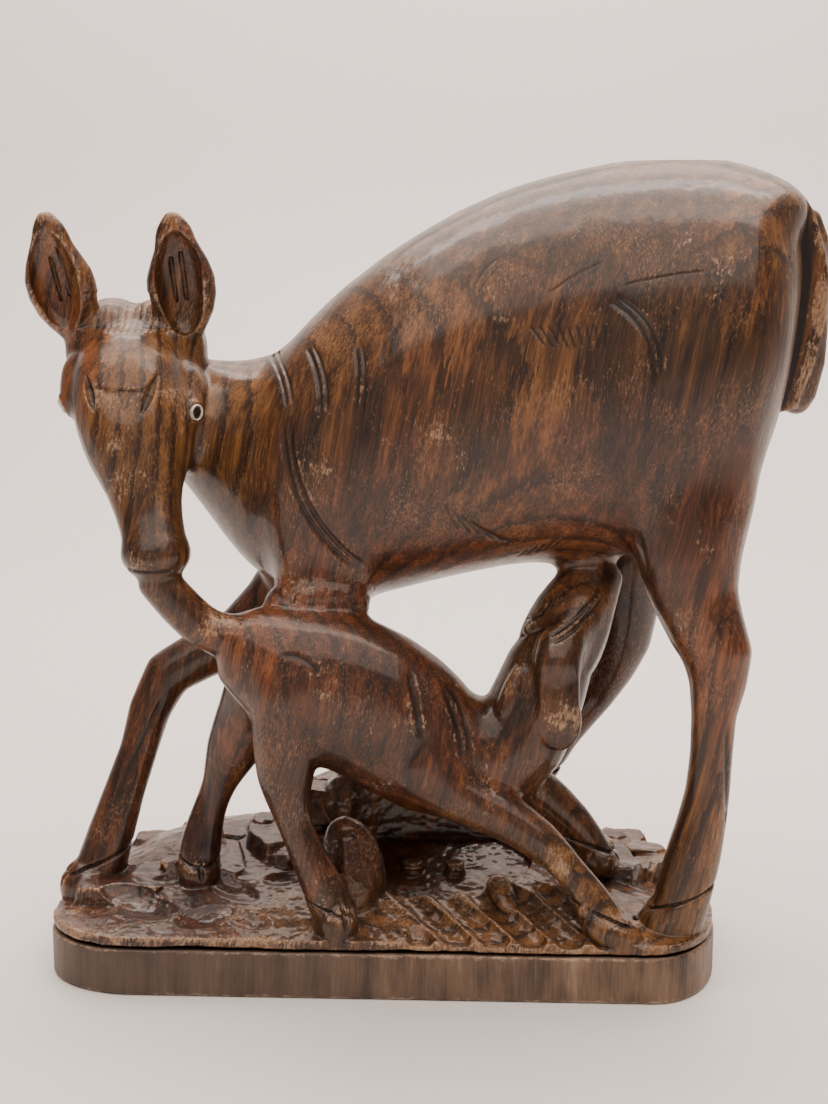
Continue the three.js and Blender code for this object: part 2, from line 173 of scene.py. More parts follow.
class Sculpt:
    """The joined field on one regular grid, and which node each voxel belongs to."""

    def __init__(self):
        low, high = CAD_BOX_MM
        self.first = np.floor(low / VOXEL).astype(int) - 4
        last = np.ceil(high / VOXEL).astype(int) + 5
        self.shape = tuple(last - self.first)
        self.field = np.full(self.shape, BAND, np.float32)
        self.label = np.zeros(self.shape, np.uint8)

    def node_field(self, node):
        """A node's own distances on the part of the grid round it."""
        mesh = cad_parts[node].data
        mesh.calc_loop_triangles()
        triangles = np.empty(len(mesh.loop_triangles) * 3, np.int32)
        mesh.loop_triangles.foreach_get("vertices", triangles)
        points = node_vertices(node)
        grid = vdb.FloatGrid.createLevelSetFromPolygons(
            points,
            triangles=triangles.reshape(-1, 3).astype(np.uint32),
            transform=vdb.createLinearTransform(voxelSize=VOXEL),
            halfWidth=BAND / VOXEL,
        )
        reach = int(BAND / VOXEL) + 1
        low = np.maximum(np.floor(points.min(0) / VOXEL).astype(int) - reach, self.first)
        high = np.minimum(np.ceil(points.max(0) / VOXEL).astype(int) + reach, self.first + self.shape)
        values = np.empty(tuple(high - low), np.float32)
        grid.copyToArray(values, ijk=tuple(int(c) for c in low))
        cut = tuple(slice(a, b) for a, b in zip(low - self.first, high - self.first))
        return cut, values

    def region(self, low, high):
        """The part of the grid between two corners, and its coordinates as broadcastable arrays."""
        a = np.clip(np.floor(np.asarray(low) / VOXEL).astype(int) - self.first, 0, self.shape)
        b = np.clip(np.ceil(np.asarray(high) / VOXEL).astype(int) + 1 - self.first, 0, self.shape)
        cut = tuple(slice(*pair) for pair in zip(a, b))
        axes = []
        for axis in range(3):
            line = ((np.arange(a[axis], b[axis]) + self.first[axis]) * VOXEL).astype(np.float32)
            axes.append(line.reshape([-1 if k == axis else 1 for k in range(3)]))
        return cut, axes

    def cut(self, low, high, distance, soft=0.6):
        """Takes out what distance(x, y, z) says is inside."""
        where, axes = self.region(low, high)
        self.field[where] = -smooth_min(-self.field[where], distance(*axes), soft)

    def add(self, low, high, distance, node, soft=0.8):
        where, axes = self.region(low, high)
        new = distance(*axes)
        old = self.field[where]
        self.label[where] = np.where(new < old, LABELS[node], self.label[where])
        self.field[where] = smooth_min(old, new, soft)

    def lump(self, centre, radii, node, soft, reach, axes=np.eye(3)):
        """Adds an ellipsoid; axes holds its three unit directions as rows."""
        self.add(*around(centre, reach), ellipsoid(centre, radii, axes), node, soft)

    def gouge(self, path, radius, soft, reach):
        """Cuts a round groove along a line of points."""
        self.cut(*around(path, reach), rod(path, radius), soft)

    def sink(self, low, high, amount):
        """Lowers the surface by amount(x, y, z) millimetres."""
        where, axes = self.region(low, high)
        self.field[where] += amount(*axes).astype(np.float32)

    def at(self, points, field=None):
        """The field at points, by linear interpolation."""
        field = self.field if field is None else field
        spot = points / VOXEL - self.first
        spot = np.clip(spot, 0, np.array(field.shape) - 1.001)
        base = spot.astype(int)
        part = spot - base
        total = np.zeros(len(points))
        for corner in np.ndindex(2, 2, 2):
            weight = np.prod(np.where(corner, part, 1 - part), axis=1)
            total += weight * field[tuple((base + corner).T)]
        return total


LABELS = {name: index + 1 for index, name in enumerate(CARVED)}


def joined(sculpt, nodes, fillet=None):
    """The nodes joined, some with a fillet of their own, and the label of the nearest of them."""
    field = np.full(sculpt.shape, BAND, np.float32)
    label = np.zeros(sculpt.shape, np.uint8)
    for node in nodes:
        where, values = sculpt.node_field(node)
        nearer = values < field[where]
        label[where] = np.where(nearer, LABELS[node], label[where])
        field[where] = smooth_min(field[where], values, (fillet or {}).get(node, 0))
    return field, label


def share_of(label, nodes, voxel, spread):
    """A soft map of where these nodes are the nearest."""
    own = np.isin(label, [LABELS[name] for name in nodes]).astype(np.float32)
    return blur(own, spread, voxel)


def smooth_animals(sculpt):
    """The animals joined into one flowing form: broad forms are smoothed most, creases are filleted."""
    field, label = joined(sculpt, ANIMALS, {node: LEG_FILLET for node in DOE_LEGS})
    coarse, coarse_label = halve(field), halve(label)
    step = 2 * VOXEL
    mild = blur(coarse, 2.2, step)
    strong = blur(coarse, 6.0, step)
    fillet = blur(coarse, 4.0, step)
    trunk = np.clip(2.0 * share_of(coarse_label, TRUNK, step, 8.0), 0, 1)
    form = mild * (1 - trunk) + (strong - 0.3) * trunk
    form = smooth_min(form, fillet + 0.4, 1.5)
    form = double(form, sculpt.shape)
    fine = np.clip(share_of(coarse_label, FINE, step, 2.0) * 1.3, 0, 1)
    fine = double(fine, sculpt.shape)
    light = blur(field, 0.9, VOXEL)
    return smooth_min(form, form * (1 - fine) + light * fine, 0.5), label


def smooth_ground(sculpt):
    field, label = joined(sculpt, ROCKS)
    coarse = halve(field)
    return double(blur(coarse, 1.6, 2 * VOXEL), sculpt.shape), label


# ------------------------------------------------------------------ shapes for the field, in millimetres

def ellipsoid(centre, radii, axes=np.eye(3)):
    """An ellipsoid; axes holds its three unit directions as rows."""
    def distance(x, y, z):
        dx, dy, dz = x - centre[0], y - centre[1], z - centre[2]
        local = [dx * axis[0] + dy * axis[1] + dz * axis[2] for axis in axes]
        inner = np.sqrt(sum((c / r) ** 2 for c, r in zip(local, radii)))
        steep = np.sqrt(sum((c / r ** 2) ** 2 for c, r in zip(local, radii)))
        return (inner * (inner - 1) / np.maximum(steep, 1e-6)).astype(np.float32)
    return distance


def rod(points, radius):
    """A round rod along a line of points; radius may be a number for each end."""
    radii = np.linspace(*radius, len(points)) if np.ndim(radius) else np.full(len(points), radius)

    def distance(x, y, z):
        best = None
        for a, b, ra, rb in zip(points[:-1], points[1:], radii[:-1], radii[1:]):
            a, along = np.asarray(a, float), np.asarray(b, float) - np.asarray(a, float)
            run = (x - a[0]) * along[0] + (y - a[1]) * along[1] + (z - a[2]) * along[2]
            share = np.clip(run / (along @ along), 0, 1)
            gap = np.sqrt(
                (x - a[0] - along[0] * share) ** 2
                + (y - a[1] - along[1] * share) ** 2
                + (z - a[2] - along[2] * share) ** 2
            ) - (ra + (rb - ra) * share)
            best = gap if best is None else np.minimum(best, gap)
        return best.astype(np.float32)
    return distance


def half_space(point, normal):
    """What lies ahead of a plane."""
    def distance(x, y, z):
        ahead = (x - point[0]) * normal[0] + (y - point[1]) * normal[1] + (z - point[2]) * normal[2]
        return -ahead.astype(np.float32)
    return distance


def broken_rock(centre, size, turn, rng):
    """A stone with a few flat broken faces."""
    spin = math.radians(turn)
    normals = [unit((math.cos(a + spin), math.sin(a + spin), rng.uniform(-0.1, 0.5)))
               for a in np.arange(6) * math.pi / 3 + rng.uniform(-0.3, 0.3, 6)]
    normals += [unit((rng.uniform(-0.25, 0.25), rng.uniform(-0.35, 0.05), 1)) for _ in range(2)]
    reach = rng.uniform(0.8, 1.0, len(normals))

    def distance(x, y, z):
        best = None
        for normal, r in zip(normals, reach):
            scaled = normal * np.asarray(size)
            length = np.linalg.norm(scaled) * r
            ahead = (x - centre[0]) * normal[0] + (y - centre[1]) * normal[1] + (z - centre[2]) * normal[2]
            gap = ahead - length
            best = gap if best is None else smooth_max(best, gap, 1.0)
        return smooth_max(best, centre[2] - size[2] * 2.5 - z, 1.0).astype(np.float32)
    return distance


def around(points, reach):
    points = np.atleast_2d(points)
    return points.min(0) - reach, points.max(0) + reach


# ------------------------------------------------------------------ the ground

FLUTES = {"count": 6, "radius": 8.5, "drift": 30, "depth": 3.4, "top": 0.22, "foot": 0.03}
COLLAR = {"inset": 0.7, "height": 5.0}
BAND_ABOVE_SEAM = {"inset": 0.9, "height": 2.6}
GROUND_INSET = 0.8  # the ground ends this far inside the board's outline
POOL = {"centre": (0.58, 0.4), "reach": (48, 27), "level": 0.50, "rise": 0.42}
STUMPS = ((-0.25, 5.4), (0.2, 5.2))  # places along the pool as shares of its reach, and radii
STONES = (
    # along, across, up, as shares of the ground; half sizes in mm; turn in degrees
    ((0.10, 0.32, 0.30), (26, 20, 8), 20),
    ((0.22, 0.40, 0.48), (23, 16, 7), 30),
    ((0.33, 0.56, 0.72), (22, 18, 8), 5),
    ((0.44, 0.70, 0.92), (24, 14, 8), 15),
    ((0.53, 0.64, 1.02), (20, 12, 6), -10),
    ((0.62, 0.68, 0.98), (22, 13, 7), 24),
    ((0.71, 0.62, 0.84), (17, 13, 7), -20),
    ((0.79, 0.54, 0.66), (16, 13, 7), 12),
    ((0.86, 0.46, 0.50), (14, 13, 6), 40),
    ((0.93, 0.62, 0.34), (12, 14, 6), 0),
    ((0.80, 0.13, 0.14), (17, 8, 6), 10),
    ((0.92, 0.17, 0.18), (14, 9, 6), -30),
    ((0.12, 0.78, 0.25), (20, 12, 8), 10),
    ((0.30, 0.88, 0.30), (22, 10, 9), -8),
    ((0.50, 0.92, 0.30), (24, 9, 9), 6),
    ((0.70, 0.88, 0.28), (20, 10, 8), -14),
    ((0.87, 0.82, 0.22), (18, 12, 7), 18),
)

RUBBLE = (
    # the part of the node's plan, as ends along and across; node; how many; least and greatest half size
    (((0.05, 0.95), (0.0, 0.9)), "rock_pile", 26, (6, 12)),
    (((0.66, 0.97), (0.40, 0.95)), "ground", 16, (5, 10)),
    (((0.03, 0.97), (0.80, 0.97)), "ground", 20, (5, 11)),
    (((0.18, 0.42), (0.42, 0.70)), "ground", 8, (5, 9)),
)
CHIPS = ((-125, 11.0, 0.25), (-60, 11.5, 0.30))  # of the boulder: turn, reach from its middle, tilt
SCALLOP_TALL = 14.0
SCALLOPS = (
    # along, across, as shares of the ground; length, turn in degrees, depth
    (0.08, 0.34, 26, 60, 2.2),
    (0.14, 0.14, 30, -25, 2.4),
    (0.17, 0.30, 22, 25, 1.8),
    (0.23, 0.08, 24, 20, 2.6),
    (0.28, 0.22, 24, -30, 2.2),
    (0.31, 0.07, 20, -20, 2.4),
    (0.34, 0.30, 20, 10, 1.8),
    (0.22, 0.46, 22, -10, 1.8),
    (0.93, 0.20, 22, -35, 2.0),
)


def carve_stones(sculpt):
    rng = np.random.default_rng(SEED)
    for shares, size, turn in STONES:
        centre = place("ground", *shares)
        sculpt.add(*around(centre, max(size) * 1.7), broken_rock(centre, size, turn, rng), "ground", 1.0)


def carve_rubble(sculpt, heights):
    """Small broken stones over the rock pile and the back and right of the ground."""
    rng = np.random.default_rng(SEED + 1)
    for region, node, count, sizes in RUBBLE:
        for _ in range(count):
            along, across = (rng.uniform(*ends) for ends in region)
            x, y, _ = place(node, along, across, 0)
            half = rng.uniform(*sizes)
            size = (half * 1.3, half, half * rng.uniform(0.4, 0.7))
            centre = np.array((x, y, over(sculpt, heights, x, y) - size[2] * 0.25))
            stone = broken_rock(centre, size, rng.uniform(0, 360), rng)
            sculpt.add(*around(centre, half * 2.2), stone, "ground", 0.5)


def pool_level():
    return place("ground", 0, 0, POOL["level"])[2]


def carve_pool(sculpt):
    """The flat recess in the middle, which rises gently to the back and is undercut there."""
    centre = place("ground", *POOL["centre"], 0)
    reach = POOL["reach"]
    level = pool_level()

    def distance(x, y, z):
        inside = np.sqrt(((x - centre[0]) / reach[0]) ** 2 + ((y - centre[1]) / reach[1]) ** 2) - 1
        floor = level + POOL["rise"] * (y - centre[1])
        return smooth_max(inside * min(reach), floor - z, 2.0)

    sculpt.cut(centre - (60, 30, 0), centre + (60, 30, 60), distance, 1.0)
    back = centre[1] + 0.8 * reach[1]
    shade = []
    for share in (-0.5, 0.1, 0.6):
        shade.append((centre[0] + share * reach[0], back, level + POOL["rise"] * (back - centre[1]) + 2.0))
    sculpt.gouge(shade, (3.0, 2.4), 0.8, 6)


def carve_stumps(sculpt):
    """Two squat stumps in the pool, each with two rings cut round it."""
    centre = place("ground", *POOL["centre"], 0)
    for share, radius in STUMPS:
        foot = centre + (share * POOL["reach"][0], 0, 0)
        foot[2] = pool_level() - 2
        top = foot + (0, 0, radius + 2)

        def distance(x, y, z, foot=foot, top=top, radius=radius):
            side = np.sqrt((x - foot[0]) ** 2 + ((y - foot[1]) * 1.1) ** 2) - radius
            for below in (1.6, 4.0):
                side = side + 0.9 * np.exp(-((z - top[2] + below) / 0.6) ** 2)
            return smooth_max(side, z - top[2], 0.5)

        sculpt.add(*around([foot, top], radius + 3), distance, "ground", 0.5)


def heights_of(sculpt, field):
    """The height of the top of a field over each column of the grid."""
    solid = field < 0
    top = field.shape[2] - 1 - np.argmax(solid[:, :, ::-1], axis=2)
    heights = np.where(solid.any(2), (top + sculpt.first[2]) * VOXEL, 24.0)
    for axis in (0, 1):
        heights = blur_axis(heights, 2.5 / VOXEL, axis)
    return heights


def carve_flutes(sculpt, heights):
    """Slanting gouge cuts down the front bank, from the fawn's hind hoof to its fore hoof."""
    lift = FLUTES["radius"] - FLUTES["depth"]
    low, high = box_mm("ground")
    first, last = box_mm("fawn_hindleg_right")[1][0], node_centre("fawn_foreleg_right", 0, 0.06)[0]
    spacing = (last - FLUTES["drift"] - first) / (FLUTES["count"] - 1)
    for index in range(FLUTES["count"]):
        path = []
        for share in (0, 1):
            x = first + spacing * index + FLUTES["drift"] * share
            across = FLUTES["top"] + (FLUTES["foot"] - FLUTES["top"]) * share
            y = low[1] + (high[1] - low[1]) * across
            outward = unit((0, -0.9 * share, 1))
            path.append(np.array((x, y, over(sculpt, heights, x, y))) + outward * lift)
        sculpt.gouge(path, (FLUTES["radius"] * 0.8, FLUTES["radius"]), 0.4, 12)
    x, y = (first + last) / 2 + spacing / 2, low[1] + (high[1] - low[1]) * FLUTES["top"]
    stone = np.array((x, y, over(sculpt, heights, x, y) + 0.5))
    lean = unit((0.35, -0.80, -0.45))
    across = unit(np.cross(lean, (0, 0, 1)))
    axes = np.array([lean, across, np.cross(lean, across)])
    sculpt.lump(stone, (15, 6.5, 4.5), "ground", 0.6, 20, axes)


def over(sculpt, heights, x, y):
    """How high the uncut ground stands at a place on the plan."""
    i, j = (int(round(c / VOXEL)) - f for c, f in zip((x, y), sculpt.first))
    return heights[i, j]


def carve_boulder(sculpt):
    """A leaf-shaped stone on end, with flat faces meeting at a ridge."""
    low, high = box_mm("boulder")
    middle = (low + high) / 2
    axes = np.array([(0.97, 0, 0.24), (0, 1, 0), (-0.24, 0, 0.97)])
    sculpt.add(low - 12, high + 12, ellipsoid(middle + (3, 4, -2), (15, 12, 27), axes), "boulder", 1.0)
    room = ellipsoid(middle + (3, 4, 8), (20, 18, 30), axes)
    for turn, reach, tilt in CHIPS:
        angle = math.radians(turn)
        normal = unit((math.cos(angle), math.sin(angle), tilt))
        face = half_space(middle + normal * reach, normal)

        def chip(x, y, z, face=face):
            return smooth_max(face(x, y, z), room(x, y, z), 1.0)

        sculpt.cut(low - (14, 14, 0), high + 14, chip, 0.8)


def outline_of(sculpt, board):
    """How far each place on the plan lies outside the board, taken halfway up it."""
    level = int(round(place(BOARD, 0, 0, 0.5)[2] / VOXEL)) - sculpt.first[2]
    return board[:, :, level : level + 1]


def carve_collar(sculpt, board, size, soft):
    """A low rim for the ground to end in, just inside the outline of the board."""
    top = box_mm(BOARD)[1][2]
    where, (_, _, z) = sculpt.region(*CAD_BOX_MM)
    rim = smooth_max(outline_of(sculpt, board)[where[:2]] + size["inset"], z - top - size["height"], 1.0)
    sculpt.field[where] = smooth_min(sculpt.field[where], rim, soft)
    sculpt.label[where] = np.where(sculpt.label[where] == 0, LABELS["ground"], sculpt.label[where])


def carve_scallops(sculpt, heights):
    """Shallow slanting scoops along the left half of the bank, with ridges left between them."""
    for along, across, long, turn, depth in SCALLOPS:
        x, y, _ = place("ground", along, across, 0)
        angle = math.radians(turn)
        ahead, beside = (math.cos(angle), math.sin(angle), 0), (-math.sin(angle), math.cos(angle), 0)
        centre = np.array((x, y, over(sculpt, heights, x, y) + SCALLOP_TALL - depth))
        scoop = ellipsoid(centre, (long, long * 0.5, SCALLOP_TALL), np.array([ahead, beside, (0, 0, 1)]))
        sculpt.cut(*around(centre, long), scoop, 0.3)


def carve_ground(sculpt, board):
    carve_stones(sculpt)
    carve_collar(sculpt, board, COLLAR, 4.0)
    heights = heights_of(sculpt, sculpt.field)
    carve_rubble(sculpt, heights)
    carve_scallops(sculpt, heights)
    carve_flutes(sculpt, heights)
    carve_pool(sculpt)
    carve_stumps(sculpt)
    carve_boulder(sculpt)
    carve_collar(sculpt, board, BAND_ABOVE_SEAM, 0.5)
    outline = outline_of(sculpt, board) + GROUND_INSET
    height = (np.arange(sculpt.shape[2]) + sculpt.first[2]) * VOXEL
    floor = (box_mm(BOARD)[1][2] + 0.2 - height).astype(np.float32)[None, None, :]
    sculpt.field = np.maximum(sculpt.field, np.maximum(outline, floor))


# ------------------------------------------------------------------ the animals

EARS = {
    "doe_ear_right": {"faces": (-0.22, -0.97, 0.0), "wide": 11.5, "deep": 9.0},
    "doe_ear_left": {"faces": (0.10, -0.99, 0.0), "wide": 11.5, "deep": 9.0},
}


def ear_frame(node, faces):
    root, tip = node_centre(node, 0, 0.15), node_centre(node, 0.95, 1)
    along = unit(tip - root)
    front = unit(np.asarray(faces) - along * (along @ faces))
    return root, np.linalg.norm(tip - root), along, front, np.cross(along, front)


def carve_ears(sculpt):
    for node, ear in EARS.items():
        root, length, along, front, across = ear_frame(node, ear["faces"])
        tip = root + along * length * 0.80
        axes = np.array([along, across, front])
        sculpt.lump(tip, (0.185 * length, 9.5, 4.0), node, 2.0, 22, axes)
        centre = root + along * length * CUP["middle"] + front * (ear["deep"] - 1.0)
        cup = ellipsoid(centre, (CUP["half"] * length, ear["wide"], ear["deep"]), axes)
        sculpt.cut(*around(centre, 0.5 * length + 8), cup, 0.7)
        for offset, start, end in ((-3.2, 0.34, 0.70), (1.8, 0.42, 0.82)):
            line = [root + along * length * s + across * offset - front * 1.0 for s in (start, end)]
            sculpt.gouge(line, 0.9, 0.6, 6)


def inlay_frame(side):
    """An eye's middle and the way it looks, from its ring."""
    points = node_vertices(f"doe_eye_ring_{side}")
    middle = (points.min(0) + points.max(0)) / 2
    _, _, directions = np.linalg.svd(points - points.mean(0), full_matrices=False)
    looks = directions[2]
    head = node_centre("doe_head", 0.45, 0.75)
    return middle, looks * np.sign(looks @ (middle - head))


def seat_radius():
    points = node_vertices("doe_eye_ring_left")
    middle, looks = inlay_frame("left")
    flat = (points - middle) - np.outer((points - middle) @ looks, looks)
    return np.linalg.norm(flat, axis=1).max()


def carve_brows(sculpt):
    """Each brow swells out between the foot of the ear and the eye."""
    for side in SIDES:
        eye, looks = inlay_frame(side)
        ear = node_centre(f"doe_ear_{side}", 0, 0.12)
        brow = eye * (1 - BROW["share"]) + ear * BROW["share"] - looks * BROW["sunk"]
        sculpt.lump(brow, BROW["radii"], "doe_head", 5.0, 28)


def about_axis(x, y, z, middle, looks):
    """How far a place lies ahead of a point along an axis, and how far out from the axis."""
    ahead = (x - middle[0]) * looks[0] + (y - middle[1]) * looks[1] + (z - middle[2]) * looks[2]
    total = (x - middle[0]) ** 2 + (y - middle[1]) ** 2 + (z - middle[2]) ** 2
    return ahead, np.sqrt(np.maximum(total - ahead ** 2, 0))


EYE = {"play": 0.15, "wall": 1.6, "set_back": 0.1, "seat": 1.4, "root": 6}


def carve_eyes(sculpt):
    """A round boss for each eye, and the flat seat in it for the inlay."""
    radius = seat_radius() + EYE["play"]
    for side in SIDES:
        middle, looks = inlay_frame(side)

        def boss(x, y, z, middle=middle, looks=looks):
            ahead, out = about_axis(x, y, z, middle, looks)
            return smooth_max(out - radius - EYE["wall"], ahead + EYE["set_back"], 0.8)

        def seat(x, y, z, middle=middle, looks=looks):
            ahead, out = about_axis(x, y, z, middle, looks)
            return smooth_max(out - radius, -ahead - EYE["seat"], 0.2)

        sculpt.add(*around([middle, middle - looks * EYE["root"]], radius + 4), boss, "doe_head", 1.2)
        sculpt.cut(*around(middle, radius + 3), seat, 0.2)


# the flat front of the face: the way it faces, its depth, and its ends as shares of the head
FACE = {"faces": (0.03, -0.93, 0.37), "depth": 1.3, "right": 0.90, "left": 0.25}
POLL = {"apart": 0.45, "back": 3, "below_top": 22, "radii": (0.85, 19, 26)}
LEDGE = {"depth": 1.7, "sharp": 0.35, "fade": 14}
MUZZLE = (16.0, 17.5, 11.5)
BROW = {"share": 0.4, "sunk": 6, "radii": (9.5, 11.0, 14.0)}
# the two leaf cuts and the eyes are evenly spaced across the face; each cut leans out as it rises
LEAF = {"inside": 1 / 3, "lean": 6.0, "widest": 2.4}
CUP = {"middle": 0.57, "half": 0.36}  # shares of the length of the doe's ear


def brow_height():
    """The straight upper edge of the face lies halfway between the eyes and the feet of the ears."""
    return (max(box_mm(f"doe_eye_ring_{side}")[1][2] for side in SIDES) + ear_foot()) / 2


def ear_foot():
    return min(box_mm(f"doe_ear_{side}")[0][2] for side in SIDES)


def ledge_height():
    """The poll ends level with the feet of the ear cups."""
    levels = []
    for node, ear in EARS.items():
        root, length, along, _, _ = ear_frame(node, ear["faces"])
        levels.append((root + along * length * (CUP["middle"] - CUP["half"]))[2])
    return sum(levels) / len(levels)


def front_of(sculpt, x, z, start):
    """The first solid point met when looking straight in from the front."""
    depths = np.arange(start, start + 140, 0.5)
    line = np.stack([np.full_like(depths, x), depths, np.full_like(depths, z)], 1)
    solid = sculpt.at(line) < 0
    return line[np.argmax(solid)]


def front_path(sculpt, node, start, end, sink, count=7):
    """A line on the front of a node between two places given as shares of its length and height."""
    low, _ = box_mm(node)
    path = []
    for share in np.linspace(0, 1, count):
        along, up = np.array(start) * (1 - share) + np.array(end) * share
        x, _, z = place(node, along, 0, up)
        path.append(front_of(sculpt, x, z, low[1] - 12) + (0, sink, 0))
    return path


def leaf_cut(sculpt, path, widest):
    """A gouge cut that is pointed at both ends."""
    last = len(path) - 1
    for index, (a, b) in enumerate(zip(path[:-1], path[1:])):
        ends = tuple(widest * math.sin(math.pi * (i + 0.25) / (last + 0.5)) for i in (index, index + 1))
        sculpt.gouge([a, b], ends, 0.3, 5)


def carve_poll(sculpt):
    """The block left between the ears, cut off straight above the forehead."""
    low, high = box_mm("doe_head")
    root = [node_centre(f"doe_ear_{side}", 0, 0.12) for side in ("right", "left")]
    middle = (root[0] + root[1]) / 2
    half = (root[1][0] - root[0][0]) / 2
    for side in (-1, 1):
        x, y = middle[0] + side * half * POLL["apart"], middle[1] + POLL["back"]
        centre = np.array((x, y, high[2] - POLL["below_top"]))
        wide, deep, tall = POLL["radii"]
        sculpt.lump(centre, (half * wide, deep, tall), "doe_head", 3.0, 40)
    ledge = ledge_height()

    def step(x, y, z):
        width = np.exp(-((x - middle[0]) / (half + 4)) ** 4)
        above = z - ledge
        fade = 1 / (1 + np.exp(-above / LEDGE["sharp"])) * np.exp(-np.maximum(above, 0) / LEDGE["fade"])
        return LEDGE["depth"] * fade * width * (y < middle[1] + 6)

    sculpt.sink(low - 4, high + (4, 0, 6), step)


def carve_head(sculpt):
    """The brows, the poll, the flat front of the face, the muzzle, the leaf cuts and the mouth."""
    carve_brows(sculpt)
    carve_poll(sculpt)
    low, high = box_mm("doe_head")
    normal = unit(FACE["faces"])
    brow = brow_height()
    nose = front_path(sculpt, "doe_head", (0.5, 0.75), (0.5, 0.25), 0)
    front = max(point @ normal for point in nose) - FACE["depth"]
    right_edge, left_edge = (place("doe_head", FACE[end], 0, 0)[0] for end in ("right", "left"))

    def face(x, y, z):
        ahead = x * normal[0] + y * normal[1] + z * normal[2] - front
        across = np.maximum(x - right_edge, left_edge - x)
        return smooth_max(smooth_max(-ahead, z - brow, 0.6), across, 3.0)

    sculpt.cut(low - 4, high + 4, face, 0.6)
    muzzle = node_centre("doe_head", 0.02, 0.16)
    sculpt.lump(muzzle, MUZZLE, "doe_head", 4.0, 30)
    eyes = [inlay_frame(side)[0] for side in SIDES]
    for eye, other in (eyes, eyes[::-1]):
        foot = eye + (other - eye) * LEAF["inside"]
        out = math.copysign(LEAF["lean"], eye[0] - other[0])
        path = []
        for share in np.linspace(0, 1, 7):
            x, z = foot[0] + out * share, foot[2] + (ear_foot() - foot[2]) * share
            path.append(front_of(sculpt, x, z, low[1] - 12) + (0, 0.6, 0))
        leaf_cut(sculpt, path, LEAF["widest"])
    mouth = front_path(sculpt, "doe_head", (0.46, 0.045), (0.86, 0.045), 0.3)
    sculpt.gouge(mouth, 0.9, 0.4, 5)


# how far the rump stands back, half the width of the strip left for the tail, how far forward it goes
RUMP = {"back": 9.0, "half_tail": 9.5, "reach": 44, "fade": 26}


def step_up(value, start, width):
    """Goes smoothly from 0 to 1 as value passes from start over this width."""
    share = np.clip((value - start) / width, 0, 1)
    return share * share * (3 - 2 * share)


def carve_tail(sculpt):
    """The rump is rounded back beside the tail and under its tip, so that the tail is a raised strip."""
    low, high = box_mm("doe_tail")

    def back(x, y, z):
        aft = step_up(x, high[0] - RUMP["reach"], RUMP["fade"])
        level = step_up(z, low[2] - 48, 26) * (1 - step_up(z, high[2] - 18, 26))
        beside = step_up(np.abs(y), RUMP["half_tail"], 2.5)
        under = step_up(-z, -low[2] - 3, 3.0)
        return RUMP["back"] * aft * level * np.maximum(beside, under)

    sculpt.sink((high[0] - RUMP["reach"], -70, low[2] - 50), (high[0], 70, high[2] + 10), back)
    radius = 6.5
    spine = []
    for share in np.linspace(0, 1, 9):
        middle = node_centre("doe_tail", max(0, share - 0.08), min(1, share + 0.08))
        middle[0] = min(middle[0] + 1.5, high[0] - radius - 0.3)
        spine.append(middle)
    tip, root = spine[0] + (0, 0, radius - 2), spine[-1] + (-3, 0, 0)
    spine = [tip] + spine[1:-1] + [root]
    sculpt.add(*around(spine, radius + 5), rod(spine, (radius + 1, radius - 1)), "doe_tail", 2.5)


HOOVES = {
    # the way the toe points, and the hoof's half length, half width and height
    "doe_hindleg_left": ((-1.0, -0.15), (19, 13, 17)),
    "doe_hindleg_right": ((-1.0, 0.0), (17, 12, 15)),
    "doe_foreleg_left": ((-1.0, -0.2), (15, 12, 13)),
    "doe_foreleg_right": ((-0.9, -0.5), (18, 14, 17)),
    "fawn_hindleg_right": ((0.5, -0.9), (13, 11, 14)),
    "fawn_hindleg_left": ((0.3, -1.0), (12, 11, 13)),
    "fawn_foreleg_right": ((1.0, -0.15), (18, 10, 10)),
    "fawn_foreleg_left": ((0.9, -0.3), (12, 10, 11)),
}


# shares of a hoof's half length, half width and height
HOOF_SHARES = (0.85, 0.92, 0.9)
HOOF_LINE = {"height": 0.80, "slope": 0.40, "depth": 1.9, "half": 0.7}
DEW_CLAW = {"back": 0.55, "beside": 0.35, "up": 1.05, "radii": (3.4, 2.6, 4.2)}


def carve_hooves(sculpt):
    """Cloven hooves, each with a line round its top and two small claws behind."""
    for node, (toe, (long, wide, tall)) in HOOVES.items():
        foot = node_centre(node, 0, 0.06)
        ahead = unit((*toe, 0.0))
        across = np.cross((0, 0, 1), ahead)
        lean = unit(ahead + (0, 0, -0.35))
        axes = np.array([lean, across, np.cross(lean, across)])
        heart = foot + ahead * 2
        sculpt.lump(heart, np.multiply((long, wide, tall), HOOF_SHARES), node, 1.5, long + 8, axes)
        where, (x, y, z) = sculpt.region(*around(foot, long + 10))
        run = (x - foot[0]) * ahead[0] + (y - foot[1]) * ahead[1]
        line = z - foot[2] - tall * HOOF_LINE["height"] + HOOF_LINE["slope"] * run
        own = sculpt.label[where] == LABELS[node]
        ring = HOOF_LINE["depth"] * np.exp(-(line / HOOF_LINE["half"]) ** 2)
        sculpt.field[where] += (ring * own).astype(np.float32)
        cleft = [heart + ahead * long * 0.35 + (0, 0, tall * 0.95), heart + ahead * long * 0.98]
        sculpt.gouge(cleft, (0.5, 1.5), 0.5, 8)
        for side in (-1, 1):
            beside = across * side * wide * DEW_CLAW["beside"]
            claw = foot - ahead * long * DEW_CLAW["back"] + beside + (0, 0, tall * DEW_CLAW["up"])
            sculpt.lump(claw, DEW_CLAW["radii"], node, 0.8, 7)


